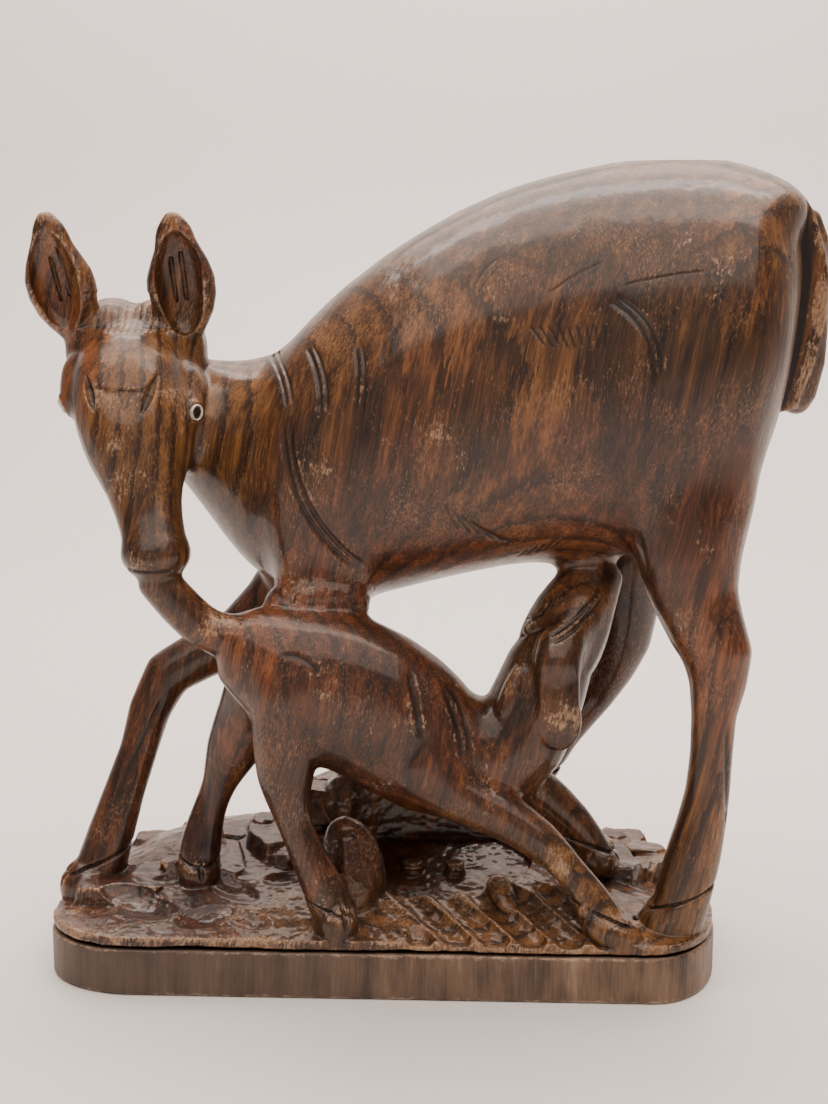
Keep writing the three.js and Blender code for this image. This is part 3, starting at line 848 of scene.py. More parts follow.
def carve_fawn_face(sculpt):
    """The hanging ear, which is broadest at its tip, and the almond eye between its lids."""
    jaw = node_centre("fawn_head", 0.4, 0.8) + (0, -10, 0)
    cheek = [node_centre("fawn_ear_right", 0.5, 0.85), jaw]
    sculpt.add(*around(cheek, 18), rod(cheek, (10.5, 8.5)), "fawn_head", 5.0)
    paddle = node_centre("fawn_ear_right", 0, 0.35)
    sculpt.lump(paddle, (11.0, 4.6, 14.5), "fawn_ear_right", 1.5, 20)
    for offset in (0.055, -0.055):
        lid = front_path(sculpt, "fawn_head", (0.02, 0.40 + offset), (0.24, 0.50 + offset), 0.2)
        sculpt.gouge(lid, 0.8, 0.3, 5)
    eye = front_path(sculpt, "fawn_head", (0.13, 0.45), (0.14, 0.455), 1.2)[0]
    lean = unit((0.75, 0.0, 0.65))
    across = unit(np.cross(lean, (0, 1, 0)))
    sculpt.lump(eye, (4.6, 2.4, 2.6), "fawn_head", 0.4, 9, np.array([lean, across, (0, 1, 0)]))


def carve_animals(sculpt):
    carve_head(sculpt)
    carve_ears(sculpt)
    carve_eyes(sculpt)
    carve_tail(sculpt)
    carve_fawn_face(sculpt)


def seam(sculpt):
    """The dark line between the carving and the board under it, and the board's bevelled upper edge."""
    low, high = box_mm(BOARD)
    fade_from = place(BOARD, 0.80, 0, 0)[0]

    def depth(x, y, z):
        fade = 1 - 0.6 * np.clip((x - fade_from) / 30, 0, 1)
        waver = 0.25 * np.sin(x / 17) + 0.15 * np.sin(x / 5.3)
        line = 1.5 * fade * np.exp(-((z - high[2] - 0.1 - waver) / 0.55) ** 2)
        bevel = 1.1 * np.clip((z - high[2] + 2.2) / 2.2, 0, 1) * (z < high[2])
        return line + bevel

    sculpt.sink(low - (2, 2, 0), high + (2, 2, 4), depth)


def sculpt_form():
    sculpt = Sculpt()
    board, board_label = joined(sculpt, [BOARD])
    sculpt.field, sculpt.label = smooth_ground(sculpt)
    carve_ground(sculpt, board)
    ground, ground_label = sculpt.field, sculpt.label
    sculpt.field, sculpt.label = smooth_animals(sculpt)
    carve_animals(sculpt)
    animals, animal_label = sculpt.field, sculpt.label
    sculpt.field = smooth_min(animals, ground, 1.0)
    sculpt.label = np.where(animals < ground, animal_label, ground_label)
    carve_hooves(sculpt)
    nearer = board < sculpt.field
    sculpt.label[nearer] = board_label[nearer]
    sculpt.field = np.minimum(sculpt.field, board)
    seam(sculpt)
    return sculpt


# ------------------------------------------------------------------ meshing

def surface(sculpt):
    """Surface nets over the labelled field: the vertices in millimetres, which of them lie on the outside,
    all quads, and the label on each side of a quad. Two nodes that touch share the faces between them, so
    each node's piece is closed."""
    inside = sculpt.field < 0
    label = np.where(inside, sculpt.label, 0)
    cells = np.array(label.shape) - 1
    ids, points, outer, quads, owners = [], [], [], [], []
    for axis in range(3):
        a, b = (axis + 1) % 3, (axis + 2) % 3
        low = [slice(None)] * 3
        high = [slice(None)] * 3
        low[axis], high[axis] = slice(0, -1), slice(1, None)
        first, second = label[tuple(low)], label[tuple(high)]
        at = np.stack(np.nonzero(first != second), 1)
        keep = np.all(at > 0, 1) & np.all(at < cells, 1)
        at = at[keep]
        owner = np.stack([first[tuple(at.T)], second[tuple(at.T)]], 1)
        other = at.copy()
        other[:, axis] += 1
        near, far = sculpt.field[tuple(at.T)], sculpt.field[tuple(other.T)]
        outside = (owner == 0).any(1)
        gap = np.where(outside, near - far, 1)
        part = np.where(outside, near / np.where(np.abs(gap) < 1e-9, 1, gap), 0.5)
        point = at.astype(float)
        point[:, axis] += np.clip(part, 0, 1)
        corners = []
        for da, db in ((-1, -1), (0, -1), (0, 0), (-1, 0)):
            cell = at.copy()
            cell[:, a] += da
            cell[:, b] += db
            corners.append(np.ravel_multi_index(tuple(cell.T), tuple(cells)))
            ids.append(corners[-1])
            points.append(point)
            outer.append(outside)
        quads.append(np.stack(corners, 1))
        owners.append(owner)
    ids, outer = np.concatenate(ids), np.concatenate(outer)
    points, quads, owners = np.concatenate(points), np.concatenate(quads), np.concatenate(owners)
    cell_ids, index = np.unique(ids, return_inverse=True)
    count = len(cell_ids)
    on_surface = np.bincount(index, outer, count) > 0
    use = outer | ~on_surface[index]
    weight = np.bincount(index, use, count)
    vertices = np.stack(
        [np.bincount(index, points[:, k] * use, count) / weight for k in range(3)], 1
    )
    quads = np.searchsorted(cell_ids, quads)
    return (vertices + sculpt.first) * VOXEL, on_surface, quads, owners


def outer_quads(quads, owners):
    """The faces between wood and air, turned to face out."""
    low_in = (owners[:, 1] == 0)
    high_in = (owners[:, 0] == 0)
    return np.concatenate([quads[low_in], quads[high_in][:, ::-1]])


def vertex_normals(vertices, faces):
    a, b, c, d = (vertices[faces[:, k]] for k in range(4))
    face = np.cross(c - a, d - b)
    normals = np.zeros_like(vertices)
    for k in range(4):
        for axis in range(3):
            normals[:, axis] += np.bincount(faces[:, k], face[:, axis], len(vertices))
    length = np.linalg.norm(normals, axis=1, keepdims=True)
    return normals / np.maximum(length, 1e-12)


def relax(vertices, faces, rounds, strength=0.5):
    """Moves each vertex towards the mean of its neighbours on the outside."""
    count = len(vertices)
    pairs = np.concatenate([faces[:, [0, 1]], faces[:, [1, 2]], faces[:, [2, 3]], faces[:, [3, 0]]])
    degree = np.bincount(pairs[:, 0], minlength=count) + np.bincount(pairs[:, 1], minlength=count)
    moved = degree > 0
    for _ in range(rounds):
        total = np.zeros_like(vertices)
        for axis in range(3):
            total[:, axis] += np.bincount(pairs[:, 0], vertices[pairs[:, 1], axis], count)
            total[:, axis] += np.bincount(pairs[:, 1], vertices[pairs[:, 0], axis], count)
        mean = total[moved] / degree[moved, None]
        vertices[moved] += strength * (mean - vertices[moved])
    return vertices


def settle(sculpt, vertices, on_surface):
    """Puts the outer vertices back exactly on the surface of the field."""
    spot = vertices[on_surface]
    step = 0.5 * VOXEL
    gradient = np.empty_like(spot)
    for axis in range(3):
        shift = np.zeros(3)
        shift[axis] = step
        gradient[:, axis] = (sculpt.at(spot + shift) - sculpt.at(spot - shift)) / (2 * step)
    size = np.maximum((gradient ** 2).sum(1), 0.1)
    move = -(sculpt.at(spot) / size)[:, None] * gradient
    reach = 0.7 * VOXEL
    length = np.linalg.norm(move, axis=1, keepdims=True)
    vertices[on_surface] = spot + move * np.minimum(1, reach / np.maximum(length, 1e-9))
    return vertices


# ------------------------------------------------------------------ noise for the surface

def lattice(ix, iy, iz, seed):
    value = (ix * 73856093) ^ (iy * 19349663) ^ (iz * 83492791) ^ (seed * 2654435761)
    value = (value ^ (value >> 13)) * 1274126177
    value = value ^ (value >> 16)
    return (value & 0xFFFFFF).astype(float) / 0xFFFFFF


def noise(points, size, seed):
    """Smooth noise from -1 to 1 with features of this size, which may differ along the three axes."""
    spot = points / np.asarray(size, float) + 1000
    base = np.floor(spot).astype(np.int64)
    part = spot - base
    part = part * part * (3 - 2 * part)
    total = np.zeros(len(points))
    for corner in np.ndindex(2, 2, 2):
        weight = np.prod(np.where(corner, part, 1 - part), axis=1)
        cell = base + corner
        total += weight * lattice(cell[:, 0], cell[:, 1], cell[:, 2], seed + SEED)
    return 2 * total - 1


def rough_noise(points, size, seed, octaves=3):
    total, height = np.zeros(len(points)), 1.0
    for octave in range(octaves):
        total += height * noise(points, np.asarray(size) / 2 ** octave, seed + octave)
        height *= 0.5
    return total


# ------------------------------------------------------------------ gouge marks in the surface

DOE_SIDE = TRUNK + DOE_LEGS
FAWN_SIDE = ("fawn_body", "fawn_neck", "fawn_foreleg_right", "fawn_hindleg_right")
FAWN_HEAD = ("fawn_head", "fawn_neck")
BOTH = (-1, 1)
NEAR = (-1,)
GROOVE_GAP = 3.4  # between the grooves of one mark

GROOVES = (
    # members, sides, the node it is placed by, its middle as shares along and up that node's box, length,
    # turn in degrees, bow, half width, depth, and how many lie side by side
    # the haunch, straight above the front edge of the hind leg
    (DOE_SIDE, BOTH, "doe_hindleg_left", (0, 1.25), 42, -62, 7, 1.1, 1.3, 2),
    # the back edge of the shoulder, over the middle of the carver's bridge
    (DOE_SIDE, BOTH, "carver_bridge", (0.5, 2.5), 80, -64, -10, 1.2, 1.2, 2),
    # an even row behind the foot of the neck
    (DOE_SIDE, BOTH, "doe_neck", (1.0, 0.9), 32, -60, 4, 1.1, 0.9, 2),
    (DOE_SIDE, BOTH, "doe_neck", (1.25, 0.9), 32, -75, 3, 1.1, 0.9, 2),
    (DOE_SIDE, BOTH, "doe_neck", (1.5, 0.9), 32, -90, 2, 0.7, 0.5, 2),
    # drying cracks, evenly spaced along the back
    (DOE_SIDE, NEAR, "doe_body", (0.40, 0.75), 20, 50, 1, 0.4, 0.3, 2),
    (DOE_SIDE, NEAR, "doe_body", (0.55, 0.75), 30, 30, 1, 0.4, 0.35, 1),
    (DOE_SIDE, NEAR, "doe_body", (0.70, 0.75), 40, 10, 1, 0.4, 0.35, 1),
    # the sinews of the legs
    (DOE_SIDE, NEAR, "doe_hindleg_left", (0.75, 0.3), 78, -86, -1.5, 1.2, 0.9, 1),
    (DOE_SIDE, BOTH, "doe_hindleg_right", (0.45, 0.4), 80, 66, -1.5, 1.2, 0.8, 1),
    (DOE_SIDE, NEAR, "doe_foreleg_right", (0.25, 0.35), 64, 66, 1.5, 1.2, 0.8, 1),
    # the fawn's shoulder, ribs and hip
    (FAWN_SIDE, NEAR, "fawn_body", (0.8, 0.5), 36, -74, 3, 1.2, 0.9, 2),
    (FAWN_SIDE, NEAR, "fawn_body", (0.66, 0.6), 32, -80, 1, 1.3, 1.0, 1),
    (FAWN_SIDE, NEAR, "fawn_body", (0.3, 0.8), 20, -25, 3, 1.4, 0.35, 1),
    # the fawn's mouth, two lines
    (FAWN_HEAD, BOTH, "fawn_head", (0.55, 0.55), 32, 38, -2, 0.8, 0.8, 2),
)

COMBS = (
    # members, node, the middle of the row, length of the row, strokes, turn of the row, of the first and
    # of the last stroke, length of a stroke, half width, depth
    (DOE_SIDE, "doe_hindleg_left", (-0.5, 1.25), 30, 9, 0, -52, -88, 12, 0.6, 0.5),
    (DOE_SIDE, "carver_bridge", (2, 2), 26, 6, -25, -64, -28, 16, 0.7, 0.45),
    (DOE_SIDE, "doe_body", (0.5, 0.15), 18, 5, 20, 45, 50, 8, 0.5, 0.3),
    (("doe_head",), "doe_head", (0.5, 0.95), 34, 11, 0, 90, 90, 14, 0.55, 0.3),
)

WEAR_AND_SHEEN = (
    # where the lacquer is rubbed through, with painted sheen on the fawn's flank and ear: node, shares of
    # its box, radius in mm, amount
    ("doe_head", (0.45, 0.28, 0.68), 14, 0.90),
    ("doe_head", (0.72, 0.28, 0.68), 12, 0.90),
    ("doe_head", (0.55, 0.22, 0.52), 12, 0.55),
    ("doe_head", (0.62, 0.14, 0.35), 12, 0.40),
    ("doe_head", (0.66, 0.05, 0.10), 12, 0.50),
    ("doe_head", (0.50, 0.60, 0.97), 18, 0.35),
    ("doe_ear_left", (0.55, 0.10, 0.30), 9, 0.75),
    ("doe_ear_right", (0.60, 0.10, 0.25), 9, 0.65),
    ("doe_ear_left", (0.50, 0.20, 1.00), 7, 0.50),
    ("doe_ear_right", (0.30, 0.20, 1.00), 7, 0.50),
    # the fawn's broad pale patches: rubbed lacquer and painted sheen
    ("fawn_body", (0.30, 0.10, 0.75), 15, 0.45),
    ("fawn_body", (0.55, 0.05, 0.45), 16, 0.50),
    ("fawn_body", (0.85, 0.10, 0.50), 13, 0.40),
    ("fawn_tail", (0.60, 0.30, 0.40), 13, 0.50),
    ("fawn_head", (0.45, 0.10, 0.50), 13, 0.40),
    # painted sheen on the fawn's ear, with rubbed lacquer
    ("fawn_ear_right", (0.50, 0.00, 0.20), 12, 0.45),
    ("doe_neck", (0.75, 0.10, 0.70), 20, 0.28),
    ("doe_body", (0.10, 0.05, 0.45), 34, 0.22),
    ("doe_body", (0.40, 0.05, 0.60), 24, 0.20),
    ("doe_tail", (0.30, 0.30, 0.45), 22, 0.55),
    ("ground", (0.10, 0.10, 0.40), 34, 0.40),
    ("ground", (0.35, 0.05, 0.35), 34, 0.42),
    ("ground", (0.60, 0.03, 0.40), 34, 0.45),
    ("ground", (0.85, 0.10, 0.40), 30, 0.35),
    ("carver_bridge", (0.50, 0.10, 0.50), 22, 0.40),
)

PAINTED_SHADE_AND_DARKER_TONE = (
    # where the colour is darkened, in the same terms: painted shade on two of the doe's legs, the side of
    # the tail, the back of the rump and the ground under the fawn, and a darker tone on the face, the neck
    # and the two ends of the ground
    ("doe_head", (0.60, 0.20, 0.40), 24, 0.50),
    ("ground", (0.20, 0.30, 0.50), 60, 0.35),
    ("ground", (0.85, 0.30, 0.50), 45, 0.25),
    ("doe_tail", (0.70, 0.50, 0.40), 30, 0.5),
    ("doe_neck", (0.30, 0.20, 0.25), 26, 0.5),
    ("doe_body", (0.95, 0.50, 0.30), 40, 0.5),
    ("doe_hindleg_right", (0.50, 0.50, 0.60), 60, 0.6),
    ("doe_foreleg_left", (0.50, 0.50, 0.60), 50, 0.4),
    ("ground", (0.60, 0.45, 0.70), 30, 0.6),
)


def heading(turn):
    """The direction in the side view that is turned this many degrees up from the doe's tail end."""
    return np.array((math.cos(math.radians(turn)), math.sin(math.radians(turn))))


def line_at(node, shares, length, turn, bow=0, count=12):
    """A bowed line in the side view, its middle at shares of a node's length and height."""
    low, high = box_mm(node)
    middle = (low + (high - low) * np.array((shares[0], 0, shares[1])))[[0, 2]]
    share = np.linspace(-1, 1, count)[:, None]
    return middle + heading(turn) * length / 2 * share + heading(turn + 90) * bow * (0.5 - share ** 2)


def along_line(points, path):
    """How far points lie from a line of points, and at what share of it."""
    gap, share = np.full(len(points), 1e9), np.zeros(len(points))
    last = len(path) - 1
    for index, (a, b) in enumerate(zip(path[:-1], path[1:])):
        part = np.clip((points - a) @ (b - a) / ((b - a) @ (b - a)), 0, 1)
        here = np.linalg.norm(points - a - part[:, None] * (b - a), axis=1)
        nearer = here < gap
        gap[nearer], share[nearer] = here[nearer], ((index + part) / last)[nearer]
    return gap, share


def of_members(owner, members):
    return np.isin(owner, [LABELS[name] for name in members])


class Marks:
    """What the gouge marks do to the surface: how far it sinks, and where a groove or a pale lip is."""

    def __init__(self, vertices, normals, owner):
        self.vertices, self.normals, self.owner = vertices, normals, owner
        self.sink = np.zeros(len(vertices))
        self.groove = np.zeros(len(vertices))
        self.lip = np.zeros(len(vertices))

    def stroke(self, members, side, path, width, depth):
        low, high = path.min(0) - 4 * width, path.max(0) + 4 * width
        flat = self.vertices[:, [0, 2]]
        near = of_members(self.owner, members) & (self.normals[:, 1] * side > 0.1)
        near &= np.all(flat > low, 1) & np.all(flat < high, 1)
        spots = np.nonzero(near)[0]
        gap, share = along_line(flat[spots], path)
        fade = np.clip(np.minimum(share, 1 - share) * 8, 0, 1)
        cut = np.exp(-(gap / width) ** 2) * fade
        edge = np.exp(-((gap - 2.0 * width) / (0.7 * width)) ** 2) * fade
        self.sink[spots] = np.maximum(self.sink[spots], depth * cut)
        self.groove[spots] = np.maximum(self.groove[spots], cut)
        self.lip[spots] = np.maximum(self.lip[spots], edge)


def cut_marks(vertices, normals, owner):
    marks = Marks(vertices, normals, owner)
    for members, sides, node, shares, length, turn, bow, width, depth, copies in GROOVES:
        path = line_at(node, shares, length, turn, bow)
        for copy in range(copies):
            beside = heading(turn + 90) * GROOVE_GAP * (copy - (copies - 1) / 2)
            for side in sides:
                marks.stroke(members, side, path + beside, width, depth)
    for members, node, shares, length, count, turn, first, last, stroke, width, depth in COMBS:
        for index, spot in enumerate(line_at(node, shares, length, turn, 0, count)):
            ahead = heading(first + (last - first) * index / (count - 1)) * stroke / 2
            uneven = 1 + 0.15 * math.sin(index * 2.3)
            for side in BOTH:
                marks.stroke(members, side, np.array([spot - ahead, spot + ahead * uneven]), width, depth)
    return marks


def face_edge(wear_and_sheen, vertices, owner):
    """The wear on the face stops at the straight upper edge of its flat front."""
    brow = brow_height()
    above = (owner == LABELS["doe_head"]) & (vertices[:, 2] > brow) & (vertices[:, 2] < brow + 12)
    return np.where(above, 0.25 * wear_and_sheen, wear_and_sheen)


def soft_spots(vertices, spots):
    total = np.zeros(len(vertices))
    for node, shares, radius, amount in spots:
        gap = np.linalg.norm(vertices - place(node, *shares), axis=1)
        total = np.maximum(total, amount * np.exp(-(gap / radius) ** 2))
    return total


# ------------------------------------------------------------------ pieces

def linked(name, data):
    """A new object in the scene."""
    thing = bpy.data.objects.new(name, data)
    bpy.context.scene.collection.objects.link(thing)
    return thing


def build_piece(name, vertices, normals, quads, attributes):
    used, index = np.unique(quads, return_inverse=True)
    faces = index.reshape(-1, 4)
    mesh = bpy.data.meshes.new(name)
    mesh.vertices.add(len(used))
    mesh.vertices.foreach_set("co", (vertices[used] * MM).astype(np.float32).ravel())
    mesh.loops.add(faces.size)
    mesh.loops.foreach_set("vertex_index", faces.astype(np.int32).ravel())
    mesh.polygons.add(len(faces))
    mesh.polygons.foreach_set("loop_start", np.arange(0, faces.size, 4, dtype=np.int32))
    mesh.update(calc_edges=True)
    mesh.polygons.foreach_set("use_smooth", np.ones(len(faces), bool))
    for key, values in attributes.items():
        layer = mesh.attributes.new(key, "FLOAT", "POINT")
        layer.data.foreach_set("value", values[used].astype(np.float32))
    mesh.normals_split_custom_set_from_vertices(normals[used].astype(np.float32))
    return linked(name, mesh)


def owners_of(count, quads, owners):
    """The node that each vertex belongs to."""
    owner = np.zeros(count, np.uint8)
    for column in (0, 1):
        wood = owners[:, column] > 0
        for corner in range(4):
            owner[quads[wood, corner]] = owners[wood, column]
    return owner


def tool_marks(vertices, owner):
    """The slight unevenness the gouge and the sandpaper left: more on the rocks than on the animals."""
    rocks = of_members(owner, ROCKS).astype(float)
    board = owner == LABELS[BOARD]
    rough = rocks + 1.2 * (owner == LABELS["carver_bridge"])
    facets = rough_noise(vertices, (7, 7, 4), 11) * 0.32 * rough
    facets += rough_noise(vertices, (2.6, 2.6, 1.8), 17, 2) * 0.16 * rough
    skin = noise(vertices, (9, 9, 26), 23) * 0.16 * (1 - rocks) * ~board
    grain = noise(vertices, (2.2, 2.2, 16), 31) * 0.05
    return facets + skin + grain


def carve():
    sculpt = sculpt_form()
    vertices, on_surface, quads, owners = surface(sculpt)
    skin = outer_quads(quads, owners)
    vertices = relax(vertices, skin, 2)
    vertices = settle(sculpt, vertices, on_surface)
    normals = vertex_normals(vertices, skin)
    owner = owners_of(len(vertices), quads, owners)
    broad = blur(halve(sculpt.field), 3.2, 2 * VOXEL)
    fine = blur(sculpt.field, 1.2, VOXEL)
    convex = np.zeros(len(vertices))
    edge = np.zeros(len(vertices))
    spots = vertices[on_surface]
    convex[on_surface] = sculpt.at(spots, double(broad, sculpt.shape))
    edge[on_surface] = sculpt.at(spots, fine)
    marks = cut_marks(vertices, normals, owner)
    shift = tool_marks(vertices, owner) - marks.sink
    # rubbed lacquer, with painted sheen on the fawn's flank and ear
    wear_and_sheen = face_edge(soft_spots(vertices, WEAR_AND_SHEEN), vertices, owner)
    # painted shade on two of the doe's legs, the tail, the rump and the ground under the fawn, and a darker
    # tone in a few more places
    shade = soft_spots(vertices, PAINTED_SHADE_AND_DARKER_TONE)
    vertices = vertices + normals * (shift * on_surface)[:, None]
    vertices = np.clip(vertices, *CAD_BOX_MM)
    normals = vertex_normals(vertices, skin)
    attributes = {
        "convex": convex,
        "edge": edge,
        "groove": marks.groove,
        "lip": marks.lip,
        "wear_and_sheen": wear_and_sheen,
        "shade": shade,
    }
    pieces = {}
    for name, label in LABELS.items():
        own_low, own_high = owners[:, 0] == label, owners[:, 1] == label
        own = np.concatenate([quads[own_low], quads[own_high][:, ::-1]])
        if len(own):
            pieces[name] = build_piece("carved_" + name, vertices, normals, own, attributes)
    return pieces


# ------------------------------------------------------------------ the eyes

def turned_inlay(node, side, profile, closed):
    """A lathe piece about an eye's axis; profile gives (radius, height) in mm, closed is for a ring."""
    middle, looks = inlay_frame(side)
    across = unit(np.cross(looks, (0, 0, 1)))
    up = np.cross(across, looks)
    turns = 64
    rows = []
    for index, (radius, height) in enumerate(profile):
        for step in range(turns):
            angle = 2 * math.pi * step / turns
            uneven = 1 + 0.012 * math.sin(3 * angle + index * 0.2) + 0.006 * math.sin(11 * angle)
            out = radius * uneven
            spot = middle + looks * height
            rows.append(spot + across * out * math.cos(angle) + up * out * math.sin(angle))
    faces = []
    count = len(profile)
    for index in range(count if closed else count - 1):
        first, second = index * turns, (index + 1) % count * turns
        for step in range(turns):
            after = (step + 1) % turns
            faces.append((first + step, first + after, second + after, second + step))
    if not closed:
        faces.append(tuple(range(turns))[::-1])
        faces.append(tuple((count - 1) * turns + step for step in range(turns)))
    mesh = bpy.data.meshes.new("turned_" + node)
    mesh.from_pydata([tuple(row * MM) for row in rows], [], faces)
    mesh.update()
    for polygon in mesh.polygons:
        polygon.use_smooth = len(polygon.vertices) == 4
    return linked("turned_" + node, mesh)


def inlay_size(node, side):
    """The inner and outer radius of an inlay and the heights of its back and front."""
    points = node_vertices(node)
    middle, looks = inlay_frame(side)
    height = (points - middle) @ looks
    radius = np.linalg.norm((points - middle) - np.outer(height, looks), axis=1)
    return radius.min(), radius.max(), height.min(), height.max()


RING_SHARE = 0.62  # how much of the ring's width shows; the rest is under the pupil's edge


def eye_ring(side):
    node = f"doe_eye_ring_{side}"
    inner, outer, back, front = inlay_size(node, side)
    inner = outer - RING_SHARE * (outer - inner)
    middle, half = (inner + outer) / 2, (outer - inner) / 2
    crown = front - back - 0.6
    profile = [(outer, back), (outer, back + crown * 0.6)]
    for step in range(1, 10):
        angle = math.pi * step / 10
        profile.append((middle + half * math.cos(angle), back + crown + 0.6 * math.sin(angle)))
    profile += [(inner, back + crown * 0.6), (inner, back)]
    return turned_inlay(node, side, profile[::-1], True)


def eye_pupil(side):
    node = f"doe_pupil_{side}"
    _, _, back, front = inlay_size(node, side)
    ring_inner, ring_outer, _, _ = inlay_size(f"doe_eye_ring_{side}", side)
    outer = ring_outer - RING_SHARE * (ring_outer - ring_inner) - 0.1
    shoulder = front - 0.8
    profile = [(outer, back), (outer, shoulder)]
    for step in range(1, 12):
        angle = math.pi / 2 * step / 12
        profile.append((outer * math.cos(angle), shoulder + 0.8 * math.sin(angle)))
    return turned_inlay(node, side, profile, False)


# ------------------------------------------------------------------ materials

class Shader:
    """A material's nodes, with one short method for each kind of step."""

    def __init__(self, name):
        self.material = bpy.data.materials.new(name)
        self.material.use_nodes = True
        self.tree = self.material.node_tree
        self.surface = self.tree.nodes["Principled BSDF"]

    def feed(self, socket, value):
        if isinstance(value, bpy.types.NodeSocket):
            self.tree.links.new(value, socket)
        else:
            socket.default_value = value

    def add(self, kind, inputs, **settings):
        node = self.tree.nodes.new(kind)
        for key, value in settings.items():
            setattr(node, key, value)
        for key, value in inputs.items():
            self.feed(node.inputs[key], value)
        return node

    def coordinates(self):
        return self.add("ShaderNodeTexCoord", {}).outputs["Object"]

    def along(self, where):
        return self.add("ShaderNodeSeparateXYZ", {0: where}).outputs["X"]

    def attribute(self, name):
        return self.add("ShaderNodeAttribute", {}, attribute_name=name).outputs["Fac"]

    def placed(self, where, scale=(1, 1, 1), turn=(0, 0, 0), shift=(0, 0, 0)):
        inputs = {"Vector": where, "Location": shift, "Rotation": turn, "Scale": scale}
        return self.add("ShaderNodeMapping", inputs).outputs["Vector"]

    def noise(self, where, scale, detail=3.0, roughness=0.55):
        inputs = {"Vector": where, "Scale": scale, "Detail": detail, "Roughness": roughness}
        return self.add("ShaderNodeTexNoise", inputs).outputs["Fac"]

    def drawn_out(self, where, share, scale, detail, roughness):
        """Noise drawn out along the upright axis."""
        return self.noise(self.placed(where, scale=(1, 1, share)), scale, detail, roughness)

    def warped(self, where, scale, amount):
        """The place moved about by soft noise."""
        inputs = {"Vector": where, "Scale": scale, "Detail": 2.0}
        colour = self.add("ShaderNodeTexNoise", inputs).outputs["Color"]
        inputs = {0: colour, 1: (amount, amount, amount), 2: where}
        return self.add("ShaderNodeVectorMath", inputs, operation="MULTIPLY_ADD").outputs["Vector"]

    def rings(self, where, spacing, distortion, detail_scale):
        inputs = {
            "Vector": where,
            "Scale": 2 * math.pi / (20 * spacing),
            "Distortion": distortion,
            "Detail": 3.0,
            "Detail Scale": detail_scale,
            "Detail Roughness": 0.6,
        }
        kind = {"wave_type": "RINGS", "rings_direction": "Z", "wave_profile": "SAW"}
        return self.add("ShaderNodeTexWave", inputs, **kind).outputs["Fac"]

    def maths(self, operation, a, b=0.0, clamp=False):
        return self.add("ShaderNodeMath", {0: a, 1: b}, operation=operation, use_clamp=clamp).outputs[0]

    def total(self, *terms):
        """The sum of (value, weight) pairs."""
        result = 0.0
        for value, weight in terms:
            part = self.add("ShaderNodeMath", {0: value, 1: weight, 2: result}, operation="MULTIPLY_ADD")
            result = part.outputs[0]
        return result

    def ramp(self, value, low, high, start=0.0, end=1.0):
        """Goes smoothly from start to end as value goes from low to high."""
        inputs = {"Value": value, "From Min": low, "From Max": high, "To Min": start, "To Max": end}
        return self.add("ShaderNodeMapRange", inputs, interpolation_type="SMOOTHSTEP").outputs["Result"]

    def mix(self, share, a, b):
        node = self.add("ShaderNodeMix", {}, data_type="RGBA", blend_type="MIX")
        self.feed(node.inputs[0], share)
        for socket, value in ((node.inputs[6], a), (node.inputs[7], b)):
            self.feed(socket, (*value, 1) if isinstance(value, tuple) else value)
        return node.outputs[2]

    def cover(self, colour, share, strength, top):
        """The colour, partly covered by another."""
        return self.mix(self.maths("MULTIPLY", share, strength), colour, top)

    def bump(self, height, distance, strength):
        inputs = {"Height": height, "Distance": distance, "Strength": strength}
        return self.add("ShaderNodeBump", inputs).outputs["Normal"]

    def finish(self, **inputs):
        for key, value in inputs.items():
            self.feed(self.surface.inputs[key.replace("_", " ")], value)
        return self.material


PITH = (0.035, 0.045, 0.0)  # the heart of the log, in metres
STAIN_AND_SHADE_DARK = (0.010, 0.005, 0.0035)  # the near-black of stain gathered in the grooves and of painted shade in the hollows


def grain(shader, where, lean):
    """Coordinates with the leaning grain upright and the pith at the origin."""
    upright = shader.placed(where, turn=(0, -math.radians(lean), 0), shift=tuple(-c for c in PITH))
    return shader.warped(upright, 5.0, 0.012)


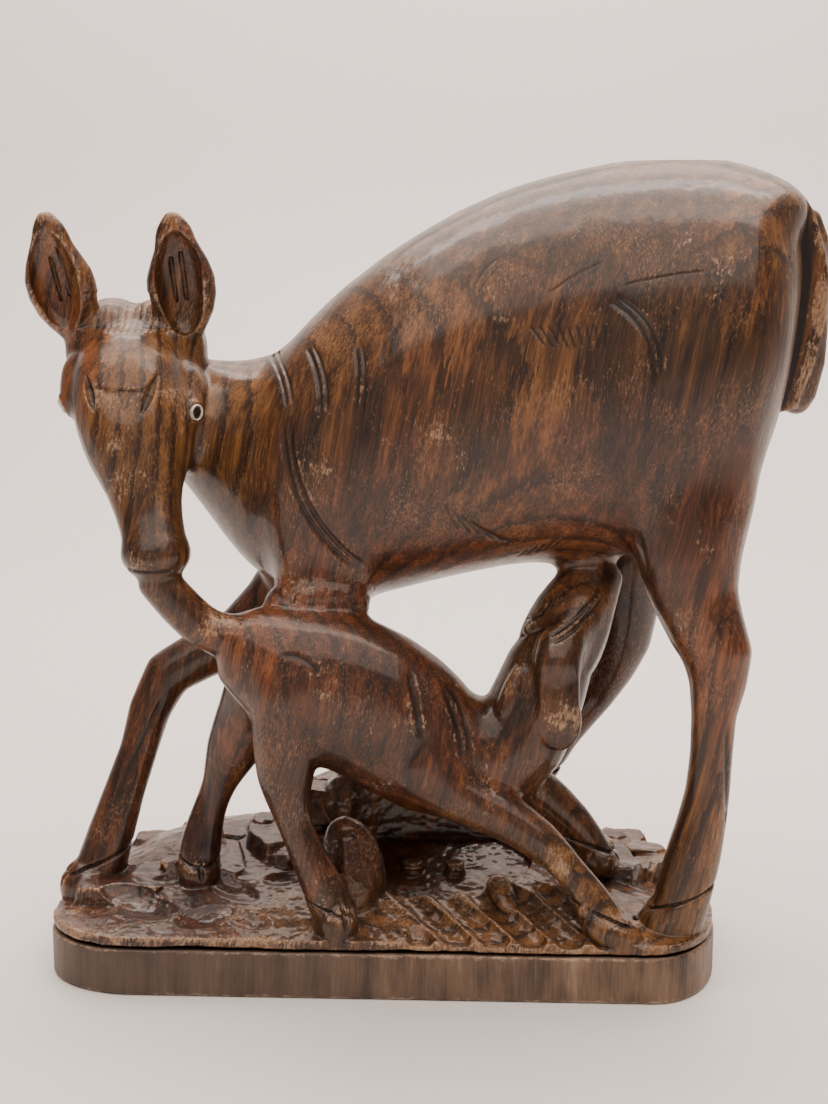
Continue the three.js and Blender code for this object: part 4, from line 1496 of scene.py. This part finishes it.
def carved_wood():
    shader = Shader("lacquered_wood")
    where = shader.coordinates()
    upright = grain(shader, where, 12)
    rings = shader.rings(shader.placed(upright, scale=(1, 1, 0.10)), 0.0090, 2.2, 12.0)
    streaks = shader.drawn_out(upright, 0.05, 165, 4.0, 0.62)
    fibres = shader.drawn_out(upright, 0.04, 1000, 2.0, 0.5)
    patches = shader.noise(where, 11, 3.0, 0.5)
    tone = shader.total((streaks, 0.56), (fibres, 0.36), (patches, 0.50))
    hue = shader.ramp(shader.noise(where, 7, 2.0, 0.5), 0.40, 0.60)
    middle = shader.mix(hue, (0.108, 0.033, 0.0120), (0.100, 0.041, 0.0130))
    bright = shader.mix(hue, (0.260, 0.086, 0.027), (0.250, 0.112, 0.034))
    colour = shader.mix(shader.ramp(tone, 0.52, 0.84), (0.011, 0.0048, 0.0032), middle)
    colour = shader.mix(shader.ramp(tone, 0.70, 0.98), colour, bright)
    line = shader.maths("MULTIPLY", shader.ramp(rings, 0.42, 0.06), shader.ramp(patches, 0.34, 0.56))
    colour = shader.cover(colour, line, 0.82, (0.012, 0.005, 0.0035))

    # painted shade, with a darker tone in a few places: the colour goes towards near-black at the spots of
    # the shade table
    shade = shader.attribute("shade")
    colour = shader.cover(colour, shade, 0.75, (0.014, 0.006, 0.004))

    specks = shader.drawn_out(upright, 0.22, 1500, 3.0, 0.7)
    field = shader.noise(where, 30, 2.0, 0.5)
    specks = shader.ramp(shader.total((specks, 0.80), (field, 0.45)), 0.68, 0.80)
    colour = shader.cover(colour, specks, 0.42, (0.34, 0.175, 0.085))

    edge, convex = shader.attribute("edge"), shader.attribute("convex")
    # rubbed-through lacquer on edges, lips and worn spots, and painted sheen on the fawn's flank and ear,
    # shown as pale tan patches
    wear_and_sheen_amount = shader.total(
        (shader.attribute("wear_and_sheen"), 1.0),
        (shader.ramp(convex, 0.5, 1.5), 0.30),
        (shader.ramp(edge, 0.08, 0.45), 0.35),
        (shader.attribute("lip"), 0.40),
    )
    chips = shader.drawn_out(upright, 0.45, 760, 5.0, 0.75)
    clusters = shader.noise(where, 42, 3.0, 0.6)
    pale_patches = shader.ramp(shader.total((chips, 0.62), (clusters, 0.62), (wear_and_sheen_amount, 0.24)), 0.735, 0.86)
    tan = shader.mix(shader.ramp(chips, 0.3, 0.7), (0.17, 0.080, 0.036), (0.50, 0.32, 0.19))
    colour = shader.cover(colour, pale_patches, 0.75, tan)

    # painted shade and dark stain: near-black in fine crevices, in broad hollows and creases, and in the
    # gouge grooves
    stain_and_painted_shade = shader.total(
        (shader.ramp(edge, -0.10, -0.55), 0.8),
        (shader.ramp(convex, -0.4, -1.6), 0.45),
        (shader.attribute("groove"), 1.0),
    )
    stain_and_painted_shade = shader.maths("MULTIPLY", stain_and_painted_shade, 0.9, clamp=True)
    colour = shader.mix(stain_and_painted_shade, colour, STAIN_AND_SHADE_DARK)

    dull = shader.total((pale_patches, 0.22), (stain_and_painted_shade, 0.20), (streaks, -0.12), (clusters, 0.16))
    height = shader.total((chips, 0.5), (fibres, 0.35), (streaks, 0.4), (pale_patches, -0.35))
    return shader.finish(
        Base_Color=colour,
        Roughness=shader.maths("ADD", dull, 0.40),
        Normal=shader.bump(height, 0.0006, 0.50),
        Coat_Weight=0.42,
        Coat_IOR=1.65,
        Coat_Roughness=0.15,
        Specular_IOR_Level=0.24,
    )


def plinth_wood():
    shader = Shader("pale_board")
    where = shader.coordinates()
    upright = grain(shader, where, 1)
    streaks = shader.drawn_out(upright, 0.12, 70, 4.0, 0.65)
    fibres = shader.drawn_out(upright, 0.06, 800, 3.0, 0.6)
    stains = shader.noise(where, 26, 4.0, 0.6)
    tone = shader.total((streaks, 0.9), (fibres, 0.3), (stains, 0.5))
    colour = shader.mix(shader.ramp(tone, 0.62, 1.05), (0.032, 0.016, 0.010), (0.200, 0.118, 0.070))
    colour = shader.mix(shader.ramp(tone, 0.92, 1.25), colour, (0.42, 0.29, 0.19))
    pale = shader.ramp(shader.total((shader.along(where), 1.0), (stains, 0.10)), -0.06, 0.16)
    colour = shader.mix(pale, shader.mix(0.62, colour, (0.055, 0.032, 0.022)), colour)
    edge = shader.attribute("edge")
    chips = shader.noise(shader.placed(where, scale=(0.5, 1, 1)), 500, 4.0, 0.7)
    pale_patches = shader.ramp(shader.total((chips, 0.6), (stains, 0.3), (edge, 0.45)), 0.56, 0.68)
    colour = shader.cover(colour, pale_patches, 0.6, (0.42, 0.31, 0.22))
    # painted shade and dark stain: near-black in the hollows of the board, such as the seam under the
    # carving
    stain_and_painted_shade = shader.ramp(edge, -0.08, -0.40)
    colour = shader.mix(stain_and_painted_shade, colour, (0.010, 0.006, 0.004))
    height = shader.total((chips, 0.5), (fibres, 0.5), (streaks, 0.5))
    rough = shader.total((stains, 0.25), (pale_patches, 0.15))
    return shader.finish(
        Base_Color=colour,
        Roughness=shader.maths("ADD", rough, 0.36),
        Normal=shader.bump(height, 0.0006, 0.5),
        Coat_Weight=0.10,
        Coat_Roughness=0.3,
    )


def bone():
    shader = Shader("bone")
    where = shader.coordinates()
    cracks = shader.drawn_out(where, 0.2, 2600, 4.0, 0.7)
    clouds = shader.noise(where, 500, 3.0, 0.5)
    tone = shader.total((cracks, 0.6), (clouds, 0.5))
    colour = shader.mix(shader.ramp(tone, 0.38, 0.62), (0.34, 0.25, 0.16), (0.80, 0.74, 0.62))
    return shader.finish(
        Base_Color=colour,
        Roughness=shader.ramp(clouds, 0.3, 0.7, 0.30, 0.45),
        Normal=shader.bump(tone, 0.0002, 0.4),
        Subsurface_Weight=0.1,
    )


def dark_horn():
    shader = Shader("dark_horn")
    where = shader.coordinates()
    clouds = shader.noise(where, 700, 4.0, 0.6)
    colour = shader.mix(clouds, (0.004, 0.003, 0.0025), (0.030, 0.016, 0.010))
    return shader.finish(
        Base_Color=colour,
        Roughness=shader.ramp(clouds, 0.3, 0.7, 0.10, 0.22),
        Normal=shader.bump(clouds, 0.0001, 0.3),
        Coat_Weight=0.5,
        Coat_Roughness=0.06,
    )


def floor_paper():
    shader = Shader("pale_floor")
    where = shader.coordinates()
    cloth = shader.noise(where, 600, 2.0, 0.5)
    colour = shader.mix(shader.noise(where, 3, 2.0, 0.5), (0.77, 0.755, 0.735), (0.80, 0.785, 0.765))
    return shader.finish(
        Base_Color=colour,
        Roughness=shader.ramp(cloth, 0.3, 0.7, 0.5, 0.6),
        Normal=shader.bump(cloth, 0.0001, 0.1),
    )


# ------------------------------------------------------------------ stage, light and camera

def make_stage():
    """A pale floor that bends up into a backdrop behind the object."""
    low, _ = CAD_BOX
    mesh = bpy.data.meshes.new("floor")
    front, back, bend, reach, height, turns = -2.5, 1.1, 0.5, 3.0, 2.6, 12
    line = [(front, 0.0)]
    for step in range(turns + 1):
        angle = step / turns * math.pi / 2
        line.append((back + bend * math.sin(angle), bend - bend * math.cos(angle)))
    line.append((back + bend, height))
    points = [(side * reach, y, z + low.z) for y, z in line for side in (-1, 1)]
    faces = [(2 * i, 2 * i + 1, 2 * i + 3, 2 * i + 2) for i in range(len(line) - 1)]
    mesh.from_pydata(points, [], faces)
    for polygon in mesh.polygons:
        polygon.use_smooth = True
    mesh.materials.append(floor_paper())
    linked("floor", mesh)


def area_light(name, at, target, size, power, colour):
    light = bpy.data.lights.new(name, "AREA")
    light.shape = "RECTANGLE"
    light.size, light.size_y = size
    light.energy = power
    light.color = colour
    lamp = linked(name, light)
    lamp.location = at
    lamp.rotation_euler = (Vector(target) - Vector(at)).to_track_quat("-Z", "Y").to_euler()


LIGHTS = (
    # name, where it is, what it is turned to, size, watts, colour
    ("window", (0.1, -0.82, 1.42), (0.03, 0, 0.28), (2.4, 1.5), 22, (1, 0.88, 0.80)),
    ("top", (0.1, 0.50, 1.5), (0.10, 0.5, 0.3), (2.0, 1.8), 50, (1, 0.81, 0.70)),
    ("low", (-0.25, -1.5, 0.30), (0.0, 0, 0.08), (2.2, 0.9), 1.4, (1, 0.90, 0.82)),
    ("backdrop", (0.0, 0.55, 1.9), (0.0, 1.6, 0.5), (2.4, 0.5), 26, (1, 0.955, 0.93)),
)
WORLD = {"Color": (0.84, 0.77, 0.71, 1), "Strength": 0.28}
CAMERA = {"azimuth": 2.5, "elevation": 10, "distance": 0.9, "target": (0.014, 0, 0.205), "lens": 58.7}


def make_lights():
    world = bpy.data.worlds.new("studio")
    bpy.context.scene.world = world
    world.use_nodes = True
    for key, value in WORLD.items():
        world.node_tree.nodes["Background"].inputs[key].default_value = value
    for light in LIGHTS:
        area_light(*light)


def make_camera():
    azimuth, elevation = math.radians(CAMERA["azimuth"]), math.radians(CAMERA["elevation"])
    target = Vector(CAMERA["target"])
    back = Vector(
        (
            math.sin(azimuth) * math.cos(elevation),
            -math.cos(azimuth) * math.cos(elevation),
            math.sin(elevation),
        )
    )
    camera = linked("camera", bpy.data.cameras.new("camera"))
    camera.data.lens = CAMERA["lens"]
    camera.location = target + back * CAMERA["distance"]
    camera.rotation_euler = (-back).to_track_quat("-Z", "Y").to_euler()
    bpy.context.scene.camera = camera


make_camera()
make_stage()
make_lights()

LOOKS = {
    "carved_wood": carved_wood(),
    "plinth_wood": plinth_wood(),
    "bone_inlay": bone(),
    "dark_inlay": dark_horn(),
}


def put_in_place(piece, node, slot):
    """A finished piece takes the place of its node."""
    piece.data.materials.append(LOOKS[slot])
    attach(piece, "root")
    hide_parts(node)


for node, piece in carve().items():
    put_in_place(piece, node, "plinth_wood" if node == BOARD else "carved_wood")
for side in SIDES:
    put_in_place(eye_ring(side), f"doe_eye_ring_{side}", "bone_inlay")
    put_in_place(eye_pupil(side), f"doe_pupil_{side}", "dark_inlay")
